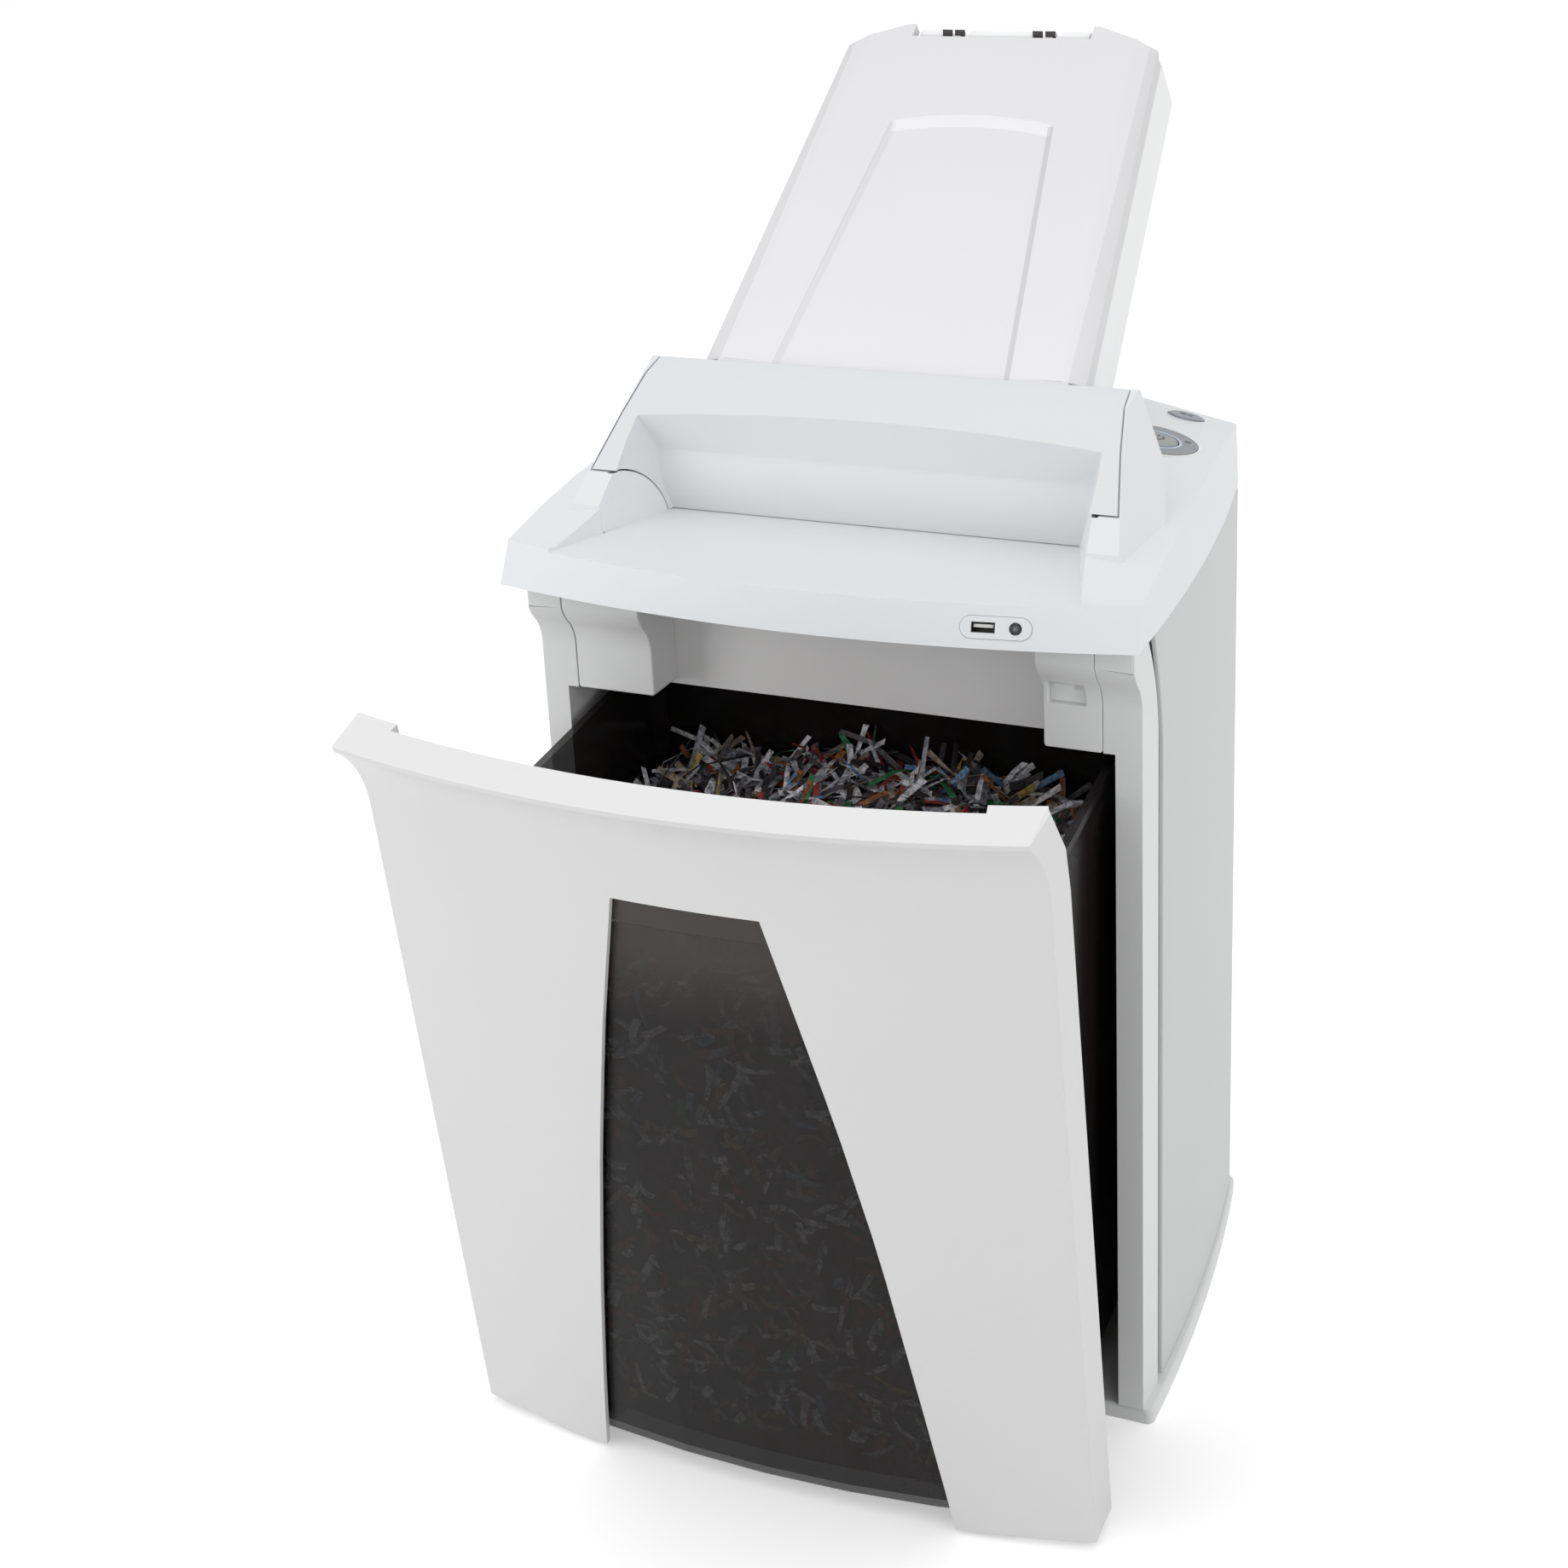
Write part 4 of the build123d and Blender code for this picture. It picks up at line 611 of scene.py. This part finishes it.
def heapCore():
    columns, rows = heap["columns"], heap["rows"]
    points, faces = patch(columns, rows, heapTopPoint(heap["inset"], heap["drop"]))
    width = columns + 1
    ring = (list(range(width)) + [j * width + columns for j in range(1, rows + 1)]
            + [rows * width + i for i in range(columns - 1, -1, -1)]
            + [j * width for j in range(rows - 1, 0, -1)])
    base = len(points)
    for index in ring:
        x, y, z = points[index]
        squeeze = tubSide(y, heap["low"], heap["inset"]) / tubSide(y, z, heap["inset"])
        points.append((x * squeeze, min(y, tubBack(heap["low"], heap["inset"])), heap["low"]))
    count = len(ring)
    for k in range(count):
        after = (k + 1) % count
        faces.append((ring[k], base + k, base + after, ring[after]))
    faces.append(tuple(base + k for k in range(count - 1, -1, -1)))
    return newObject("heapCore", points, faces)


def heapSkirt():
    def frontPoint(u, v):
        z = heapFront["low"] + v * (heapFront["high"] - heapFront["low"])
        x = (2 * u - 1) * tubSide(0, z, heapFront["inset"])
        wave = heapFront["wave"] * math.sin(heapFront["waveAcross"] * x) * v
        return (x, tubFront(x, heapFront["gap"]), z + wave)

    return newObject("heapSkirt", *patch(heapFront["columns"], heapFront["rows"], frontPoint))


def stripStock():
    stock = bpy.data.collections.new("stripStock")
    scene.collection.children.link(stock)
    last = strips["stations"] - 1
    for index, (length, width, bend, twist) in enumerate(stripShapes):
        points, faces = [], []
        for station in range(last + 1):
            t = station / last - 0.5
            turn = twist * t
            across = Vector((0, math.cos(turn), math.sin(turn))) * (width / 2)
            over = Vector((0, -math.sin(turn), math.cos(turn))) * strips["halfThickness"]
            centre = Vector((t * length, 0, bend * (0.5 - 4 * t * t)))
            points += [tuple(centre + side) for side in
                       (-across - over, across - over, across + over, -across + over)]
        for station in range(last):
            faces += ringFaces(4 * station, 4)
        faces += [(3, 2, 1, 0), tuple(range(4 * last, 4 * last + 4))]
        piece = newObject("strip" + str(index), points, [tuple(reversed(face)) for face in faces])
        scene.collection.objects.unlink(piece)
        stock.objects.link(piece)
    return stock


def geometryNode(tree, kind, **values):
    node = tree.nodes.new(kind)
    for key, value in values.items():
        setattr(node, key, value)
    return node


def randomNode(tree, kind, low, high, seed):
    node = geometryNode(tree, "FunctionNodeRandomValue", data_type=kind)
    live = [socket for socket in node.inputs if socket.enabled]
    for label, value in (("Min", low), ("Max", high)):
        socket = next(s for s in live if s.name == label)
        if isinstance(value, bpy.types.NodeSocket):
            link(tree, value, socket)
        else:
            socket.default_value = value
    link(tree, seed, next(s for s in live if s.name == "Seed"))
    return next(socket for socket in node.outputs if socket.enabled)


def makeStripScatter():
    tree, src, out = newGroup(
        "stripScatter",
        [("Surface", "NodeSocketGeometry", None), ("Stock", "NodeSocketCollection", None),
         ("Density", "NodeSocketFloat", 1000.0), ("Tilt", "NodeSocketFloat", 0.5),
         ("Length", "NodeSocketFloat", 1.0), ("Seed", "NodeSocketInt", 1)],
        [("Strips", "NodeSocketGeometry")], "GeometryNodeTree")
    points = geometryNode(tree, "GeometryNodeDistributePointsOnFaces")
    for label, name in (("Mesh", "Surface"), ("Density", "Density"), ("Seed", "Seed")):
        link(tree, src.outputs[name], points.inputs[label])
    negative = mathNode(tree, "MULTIPLY", src.outputs["Tilt"], -1.0)
    corners = []
    for side, spin in ((negative, 0.0), (src.outputs["Tilt"], math.tau)):
        corner = geometryNode(tree, "ShaderNodeCombineXYZ")
        link(tree, side, corner.inputs["X"])
        link(tree, side, corner.inputs["Y"])
        corner.inputs["Z"].default_value = spin
        corners.append(corner.outputs[0])
    turn = randomNode(tree, "FLOAT_VECTOR", corners[0], corners[1], src.outputs["Seed"])
    euler = geometryNode(tree, "FunctionNodeEulerToRotation")
    link(tree, turn, euler.inputs[0])
    rotate = geometryNode(tree, "FunctionNodeRotateRotation", rotation_space="LOCAL")
    link(tree, points.outputs["Rotation"], rotate.inputs["Rotation"])
    link(tree, euler.outputs[0], rotate.inputs["Rotate By"])
    stock = geometryNode(tree, "GeometryNodeCollectionInfo")
    link(tree, src.outputs["Stock"], stock.inputs["Collection"])
    stock.inputs["Separate Children"].default_value = True
    stock.inputs["Reset Children"].default_value = True
    place = geometryNode(tree, "GeometryNodeInstanceOnPoints")
    link(tree, points.outputs["Points"], place.inputs["Points"])
    link(tree, stock.outputs[0], place.inputs["Instance"])
    place.inputs["Pick Instance"].default_value = True
    pick = randomNode(tree, "INT", 0, len(stripShapes) - 1, mathNode(tree, "ADD", src.outputs["Seed"], 1.0))
    link(tree, pick, place.inputs["Instance Index"])
    link(tree, rotate.outputs[0], place.inputs["Rotation"])
    size = randomNode(tree, "FLOAT_VECTOR", strips["smallest"], strips["largest"],
                      mathNode(tree, "ADD", src.outputs["Seed"], 2.0))
    stretch = geometryNode(tree, "ShaderNodeCombineXYZ")
    stretch.inputs["Y"].default_value = 1
    stretch.inputs["Z"].default_value = 1
    link(tree, src.outputs["Length"], stretch.inputs["X"])
    sized = geometryNode(tree, "ShaderNodeVectorMath", operation="MULTIPLY")
    link(tree, size, sized.inputs[0])
    link(tree, stretch.outputs[0], sized.inputs[1])
    link(tree, sized.outputs[0], place.inputs["Scale"])
    tone = geometryNode(tree, "GeometryNodeStoreNamedAttribute", domain="INSTANCE", data_type="FLOAT")
    link(tree, place.outputs[0], tone.inputs["Geometry"])
    tone.inputs["Name"].default_value = "tone"
    shade = randomNode(tree, "FLOAT", 0.0, 1.0, mathNode(tree, "ADD", src.outputs["Seed"], 3.0))
    link(tree, shade, tone.inputs["Value"])
    real = geometryNode(tree, "GeometryNodeRealizeInstances")
    link(tree, tone.outputs[0], real.inputs[0])
    link(tree, real.outputs[0], out.inputs[0])
    return tree


# points that would pass the tub's walls stay inside them
def keepInTub(tree, geometry, margin):
    position = geometryNode(tree, "GeometryNodeInputPosition")
    parts = geometryNode(tree, "ShaderNodeSeparateXYZ")
    link(tree, position.outputs[0], parts.inputs[0])
    x, y, z = parts.outputs
    side = mathNode(tree, "MULTIPLY_ADD", z, tubGrow, tubSide(0, 0, margin))
    side = mathNode(tree, "MULTIPLY_ADD", y, -tub["taper"] / tub["taperDepth"], side)
    otherSide = mathNode(tree, "MULTIPLY", side, -1.0)
    keptX = mathNode(tree, "MINIMUM", mathNode(tree, "MAXIMUM", x, otherSide), side)
    nearest = mathNode(tree, "MULTIPLY_ADD", mathNode(tree, "MULTIPLY", keptX, keptX), 0.5 / tub["bowRadius"],
                       tubFront(0, margin))
    farthest = mathNode(tree, "MULTIPLY_ADD", z, tubBackGrow, tubBack(0, margin))
    keptY = mathNode(tree, "MINIMUM", mathNode(tree, "MAXIMUM", y, nearest), farthest)
    joined = geometryNode(tree, "ShaderNodeCombineXYZ")
    for label, value in (("X", keptX), ("Y", keptY), ("Z", z)):
        link(tree, value, joined.inputs[label])
    move = geometryNode(tree, "GeometryNodeSetPosition")
    link(tree, geometry, move.inputs["Geometry"])
    link(tree, joined.outputs[0], move.inputs["Position"])
    return move.outputs[0]


def makeShredHeap():
    scatter = makeStripScatter()
    tree, src, out = newGroup(
        "shredHeap",
        [("Core", "NodeSocketGeometry", None), ("Top", "NodeSocketObject", None),
         ("Skirt", "NodeSocketObject", None), ("Stock", "NodeSocketCollection", None),
         ("Seed", "NodeSocketInt", 1),
         *[(part + " " + value, "NodeSocketFloat", 1.0) for part in ("Top", "Skirt", "Stand")
           for value in ("Density", "Tilt", "Length")],
         ("Paper", "NodeSocketMaterial", None), ("Shaded Core", "NodeSocketMaterial", None)],
        [("Heap", "NodeSocketGeometry")], "GeometryNodeTree")
    everyStrip = geometryNode(tree, "GeometryNodeJoinGeometry")
    for part, surface, shift in (("Top", "Top", 0.0), ("Skirt", "Skirt", strips["skirtSeed"]),
                                 ("Stand", "Top", strips["standSeed"])):
        source = geometryNode(tree, "GeometryNodeObjectInfo")
        link(tree, src.outputs[surface], source.inputs["Object"])
        spread = geometryNode(tree, "GeometryNodeGroup")
        spread.node_tree = scatter
        link(tree, source.outputs["Geometry"], spread.inputs["Surface"])
        link(tree, src.outputs["Stock"], spread.inputs["Stock"])
        for value in ("Density", "Tilt", "Length"):
            link(tree, src.outputs[part + " " + value], spread.inputs[value])
        link(tree, mathNode(tree, "ADD", src.outputs["Seed"], shift), spread.inputs["Seed"])
        link(tree, spread.outputs[0], everyStrip.inputs[0])
    kept = keepInTub(tree, everyStrip.outputs[0], strips["margin"])
    whole = geometryNode(tree, "GeometryNodeJoinGeometry")
    for geometry, finish in ((src.outputs["Core"], "Shaded Core"), (kept, "Paper")):
        coat = geometryNode(tree, "GeometryNodeSetMaterial")
        link(tree, geometry, coat.inputs["Geometry"])
        link(tree, src.outputs[finish], coat.inputs["Material"])
        link(tree, coat.outputs[0], whole.inputs[0])
    link(tree, whole.outputs[0], out.inputs[0])
    return tree


def makeShreds():
    core = heapCore()
    topPoint = heapTopPoint(heap["topInset"], heap["topDrop"])
    top = newObject("heapTop", *patch(heap["columns"], heap["rows"], topPoint))
    skirt = heapSkirt()
    stock = stripStock()
    tree = makeShredHeap()
    values = {"Top": top, "Skirt": skirt, "Stock": stock, "Seed": strips["seed"],
              "Paper": finishes["printedPaper"], "Shaded Core": finishes["packedPaper"]}
    for part in ("Top", "Skirt", "Stand"):
        for value in ("Density", "Tilt", "Length"):
            values[part + " " + value] = strips[part.lower() + value]
    modifier = core.modifiers.new("shreds", "NODES")
    modifier.node_group = tree
    for item in tree.interface.items_tree:
        if item.in_out == "INPUT" and item.name in values:
            modifier[item.identifier] = values[item.name]
    graph = bpy.context.evaluated_depsgraph_get()
    mesh = bpy.data.meshes.new_from_object(core.evaluated_get(graph))
    core.modifiers.clear()
    core.name = "shreddedPaper"
    core.data = mesh
    mesh.transform(binPlace)
    for helper in [top, skirt, *stock.objects]:
        bpy.data.objects.remove(helper)
    bpy.data.collections.remove(stock)
    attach(core, "bin")
    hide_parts("paper_shreds")
    print("shredded paper made:", len(mesh.polygons), "faces")


makeShreds()

# signs of the two round controls, and painted highlights on the rims round them: flat outlines in
# millimetres, laid on the roof's planes
mm = 0.001
roofPlaces = {"power": ((0.1428, 0.035, 0.574638), (0.21, 0.0421, 1)),
              "reverse": ((0.1394, 0.110, 0.567764), (0.21, 0.1602, 1))}
signSize = {"ring": (14.6, 16.2), "bezelRim": (26.4, 27.3), "reverseRim": (12.1, 12.9), "arc": (3.4, 4.6),
            "arcTurn": (125, 415), "bar": (0.5, 1.4, 5.6), "powerBack": 3, "spot": (2.2, 1.3),
            "spotAt": (17.2, 11), "arrow": ((-1.2, -3.4), (-5.2, 0), (-1.2, 3.4)), "arrowStep": 4.6,
            "arrowBack": 2}


def roofFrame(place):
    origin, normal = roofPlaces[place]
    up = Vector(normal).normalized()
    across = Vector((1, 0, -normal[0])).normalized()
    ahead = up.cross(across)
    return Matrix.Translation(origin) @ Matrix((across, ahead, up)).transposed().to_4x4()


def band(radiusIn, radiusOut, start, end, steps=40):
    angles = [math.radians(start + (end - start) * k / steps) for k in range(steps + 1)]
    return ([(radiusOut * math.cos(a), radiusOut * math.sin(a)) for a in angles]
            + [(radiusIn * math.cos(a), radiusIn * math.sin(a)) for a in reversed(angles)])


def halves(radiusIn, radiusOut):
    return [band(radiusIn * mm, radiusOut * mm, start, start + 180) for start in (0, 180)]


def shifted(outline, right, back):
    return [(x + right * mm, y + back * mm) for x, y in outline]


def powerOutlines():
    radiusIn, radiusOut = signSize["arc"]
    arc = band(radiusIn * mm, radiusOut * mm, *signSize["arcTurn"])
    half, low, high = [value * mm for value in signSize["bar"]]
    bar = [(-half, low), (half, low), (half, high), (-half, high)]
    return [shifted(outline, 0, signSize["powerBack"]) for outline in (arc, bar)]


def spotOutline():
    wide, deep = signSize["spot"]
    turns = [k * math.pi / 10 for k in range(20)]
    oval = [(wide * mm * math.cos(turn), deep * mm * math.sin(turn)) for turn in turns]
    return shifted(oval, *signSize["spotAt"])


def arrowOutlines():
    arrows = [[((x + signSize["arrowStep"] * k) * mm, y * mm) for x, y in signSize["arrow"]] for k in (0, 1)]
    return [shifted(arrow, 0, signSize["arrowBack"]) for arrow in arrows]


def flatSign(name, place, outlines, height, thickness, finish, body, slot):
    points, faces = [], []
    low = height * mm
    high = low + thickness * mm
    for outline in outlines:
        count, base = len(outline), len(points)
        points += [(x, y, low) for x, y in outline] + [(x, y, high) for x, y in outline]
        faces.append(tuple(base + k for k in range(count - 1, -1, -1)))
        faces.append(tuple(base + count + k for k in range(count)))
        faces += ringFaces(base, count)
    piece = newObject(name, points, faces)
    piece.data.transform(roofFrame(place))
    piece.data.materials.append(finishes[finish])
    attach(piece, body)


signs = {
    "powerRing": {"place": "power", "outlines": halves(*signSize["ring"]), "height": 0.6, "thickness": 0.15,
                  "finish": "ringBlue", "body": "cabinet", "slot": "grey_plastic"},
    "powerSign": {"place": "power", "outlines": powerOutlines(), "height": 1.2, "thickness": 0.12,
                  "finish": "signDarkAndShade", "body": "power_button", "slot": "grey_plastic"},
    "indicatorSpot": {"place": "power", "outlines": [spotOutline()], "height": 0.6, "thickness": 0.12,
                      "finish": "signDarkAndShade", "body": "cabinet", "slot": "grey_plastic"},
    "reverseSign": {"place": "reverse", "outlines": arrowOutlines(), "height": 1.2, "thickness": 0.12,
                    "finish": "signDarkAndShade", "body": "reverse_button", "slot": "grey_plastic"},
    # bright rings round the bezel and the reverse button: painted highlights on the lit recess edges
    "bezelRim": {"place": "power", "outlines": halves(*signSize["bezelRim"]), "height": -0.6,
                 "thickness": 0.85, "finish": "rimHighlightWhite", "body": "cabinet", "slot": "white_plastic"},
    "reverseRim": {"place": "reverse", "outlines": halves(*signSize["reverseRim"]), "height": -0.35,
                   "thickness": 0.6, "finish": "rimHighlightWhite", "body": "cabinet", "slot": "white_plastic"},
}
for name, sign in signs.items():
    flatSign(name, **sign)
print("signs and rims made")


# small closing pieces: rings of points joined in order, with a cap at each end
def ringed(name, rings, finish, body):
    count = len(rings[0])
    points = [point for ring in rings for point in ring]
    faces = [tuple(range(count - 1, -1, -1)), tuple(range(len(points) - count, len(points)))]
    for step in range(len(rings) - 1):
        faces += ringFaces(step * count, count)
    piece = newObject(name, points, faces)
    work = bmesh.new()
    work.from_mesh(piece.data)
    bmesh.ops.recalc_face_normals(work, faces=work.faces)
    work.to_mesh(piece.data)
    work.free()
    piece.data.materials.append(finishes[finish])
    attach(piece, body)


def ringCorners(shape):
    front, back, low, high = [shape[key] for key in ("front", "back", "low", "high")]
    return [(front, low), (back, low), (back, high), (front, high)]


# lip under the lid's lower end, behind the flap's crest, in millimetres
nose = {"border": (-35.5, 625.2, -34.2, 626.7), "panel": (-34.2, 624.3, -33.1, 625.1), "tipBack": 1.8,
        "tipDrop": 3.5, "topBack": 3, "topDrop": 4,
        "stations": [(-112.5, "border"), (-76.5, "border"), (-72, "panel"), (72, "panel"), (76.5, "border"),
                     (112.5, "border")]}


def noseRing(x, shape):
    tipY, tipZ, topY, topZ = nose[shape]
    outline = [(tipY, tipZ), (tipY + nose["tipBack"], tipZ - nose["tipDrop"]),
               (topY + nose["topBack"], topZ - nose["topDrop"]), (topY, topZ)]
    return [(x * mm, y * mm, z * mm) for y, z in outline]


ringed("lidNose", [noseRing(x, shape) for x, shape in nose["stations"]], "lidWhite", "tray_lid")

# skins over the flap's clearance in the shelf's side walls, in millimetres and degrees
wallSkin = {"half": 163.5, "taper": 0.345, "lean": 0.225, "start": -26, "level": 540, "depth": 140,
            "pivot": (33, 540), "offsets": (0.02, 0.2), "crescentRadius": 19.6,
            "crescentTurns": (178, 165, 150, 135, 120, 105), "crescentEnds": [(28, 559), (28, 540.4)],
            "notchOut": 31.6, "notchIn": 24, "notchTurns": (84, 89, 93.5)}


def wallPoint(side, depth, height, off):
    half = (wallSkin["half"] - wallSkin["taper"] * (depth - wallSkin["start"])
            + wallSkin["lean"] * (height - wallSkin["level"]) - off)
    return (side * half * mm, (depth - wallSkin["depth"]) * mm, height * mm)


def aroundPivot(radius, degrees):
    turn = math.radians(degrees)
    return (wallSkin["pivot"][0] + radius * math.cos(turn), wallSkin["pivot"][1] + radius * math.sin(turn))


crescent = [aroundPivot(wallSkin["crescentRadius"], a) for a in wallSkin["crescentTurns"]]
crescent += wallSkin["crescentEnds"]
notch = [aroundPivot(wallSkin["notchOut"], a) for a in wallSkin["notchTurns"]]
notch += [aroundPivot(wallSkin["notchIn"], a) for a in reversed(wallSkin["notchTurns"])]
for sideName, side in (("Left", -1), ("Right", 1)):
    for skinName, outline, body in (("crescentSkin", crescent, "cabinet"), ("notchSkin", notch, "feed_flap")):
        rings = [[wallPoint(side, depth, height, off) for depth, height in outline]
                 for off in wallSkin["offsets"]]
        ringed(skinName + sideName, rings, "headWhite", body)

# dark plates in the gaps of the lid's hinge, painted shade, in millimetres
hingeWindow = {"centres": (-37.2, -28.9, 23.6, 32.0), "half": 3.4, "front": 170.0, "back": 170.4,
               "low": 788.5, "high": 794.6}
# each plate is painted shade behind a gap of the hinge
for index, centre in enumerate(hingeWindow["centres"]):
    rings = [[(x * mm, y * mm, z * mm) for y, z in ringCorners(hingeWindow)]
             for x in (centre - hingeWindow["half"], centre + hingeWindow["half"])]
    ringed("hingeWindow" + str(index), rings, "signDarkAndShade", "tray_lid")

# dark strip that closes the window above the tub's rim, in the bin's own frame
rimStrip = {"front": -0.0195, "back": -0.0187, "low": 0.4, "high": 0.421, "start": -0.062, "step": 0.013,
            "stations": 11}


def rimStripRing(station):
    x = rimStrip["start"] + rimStrip["step"] * station
    bow = x * x / (2 * window["bow"])
    return [tuple(binPlace @ Vector((x, y + bow, z))) for y, z in ringCorners(rimStrip)]


ringed("windowStrip", [rimStripRing(station) for station in range(rimStrip["stations"])], "stripBrown", "bin")
print("closing pieces made")

# camera at the photograph's place
cameraPlace = {"eye": (0.61874, -1.49648, 1.05178), "yaw": 0.444726, "pitch": 0.363679, "roll": -0.050497,
               "focalPixels": 3229.68, "imageSide": 1839, "centreRow": 770.0, "sensor": 36, "clipEnd": 50}


def placeCamera(place):
    data = bpy.data.cameras.new("photoCamera")
    camera = bpy.data.objects.new("photoCamera", data)
    scene.collection.objects.link(camera)
    yaw, pitch, roll = place["yaw"], place["pitch"], place["roll"]
    ahead = Vector((-math.sin(yaw) * math.cos(pitch), math.cos(yaw) * math.cos(pitch), -math.sin(pitch)))
    right = Vector((math.cos(yaw), math.sin(yaw), 0))
    up = right.cross(ahead)
    rightTurned = math.cos(roll) * right + math.sin(roll) * up
    upTurned = math.cos(roll) * up - math.sin(roll) * right
    turn = Matrix((rightTurned, upTurned, -ahead)).transposed().to_4x4()
    camera.matrix_world = Matrix.Translation(place["eye"]) @ turn
    data.sensor_width = place["sensor"]
    data.lens = place["focalPixels"] * place["sensor"] / place["imageSide"]
    data.shift_y = (place["centreRow"] - place["imageSide"] / 2) / place["imageSide"]
    data.clip_end = place["clipEnd"]
    scene.camera = camera


placeCamera(cameraPlace)
print("camera placed")

# studio: pale floor, white surroundings, soft lamps at the left, at the right and above
studio = {"target": (0, 0, 0.4), "white": (1, 1, 1, 1), "worldLevel": 0.68, "floorReach": 15,
          "floorTone": (0.95, 0.95, 0.95, 1), "floorRough": 0.9, "floorGlow": 0.35}
lamps = {"leftLamp": {"place": (-2.2, -2.2, 0.8), "size": 1.6, "power": 18},
         "rightLamp": {"place": (2.4, -1.2, 1.2), "size": 1.6, "power": 9},
         "keyLamp": {"place": (-1.2, -1.4, 2.6), "size": 2.0, "power": 5},
         "topLamp": {"place": (0, 0.2, 3.2), "size": 2.4, "power": 13}}


def areaLamp(name, place, size, power):
    data = bpy.data.lights.new(name, "AREA")
    data.shape = "SQUARE"
    data.size = size
    data.energy = power
    lamp = bpy.data.objects.new(name, data)
    lamp.location = place
    lamp.rotation_euler = (Vector(studio["target"]) - Vector(place)).to_track_quat("-Z", "Y").to_euler()
    scene.collection.objects.link(lamp)


for name, lamp in lamps.items():
    areaLamp(name, **lamp)


# rays that see the background: straight from the camera, mirrored or passed on
def seenRay(tree):
    path = tree.nodes.new("ShaderNodeLightPath")
    mirrored = mathNode(tree, "MAXIMUM", path.outputs["Is Camera Ray"], path.outputs["Is Glossy Ray"])
    return mathNode(tree, "MAXIMUM", mirrored, path.outputs["Is Transmission Ray"])


world = bpy.data.worlds.new("studioWorld")
world.use_nodes = True
scene.world = world
background = world.node_tree.nodes["Background"]
background.inputs["Color"].default_value = studio["white"]
link(world.node_tree, mathNode(world.node_tree, "MAXIMUM", seenRay(world.node_tree), studio["worldLevel"]),
     background.inputs["Strength"])

reach = studio["floorReach"]
floorCorners = [(-reach, -reach, 0), (reach, -reach, 0), (reach, reach, 0), (-reach, reach, 0)]
floor = newObject("studioFloor", floorCorners, [(0, 1, 2, 3)])
floorFinish, floorTree, floorShader = newMaterial("floorWhite")
floorShader.inputs["Base Color"].default_value = studio["floorTone"]
floorShader.inputs["Roughness"].default_value = studio["floorRough"]
floorShader.inputs["Emission Color"].default_value = studio["white"]
link(floorTree, mathNode(floorTree, "MULTIPLY", seenRay(floorTree), studio["floorGlow"]),
     floorShader.inputs["Emission Strength"])
floor.data.materials.append(floorFinish)
scene.view_settings.view_transform = "Standard"
print("studio ready")
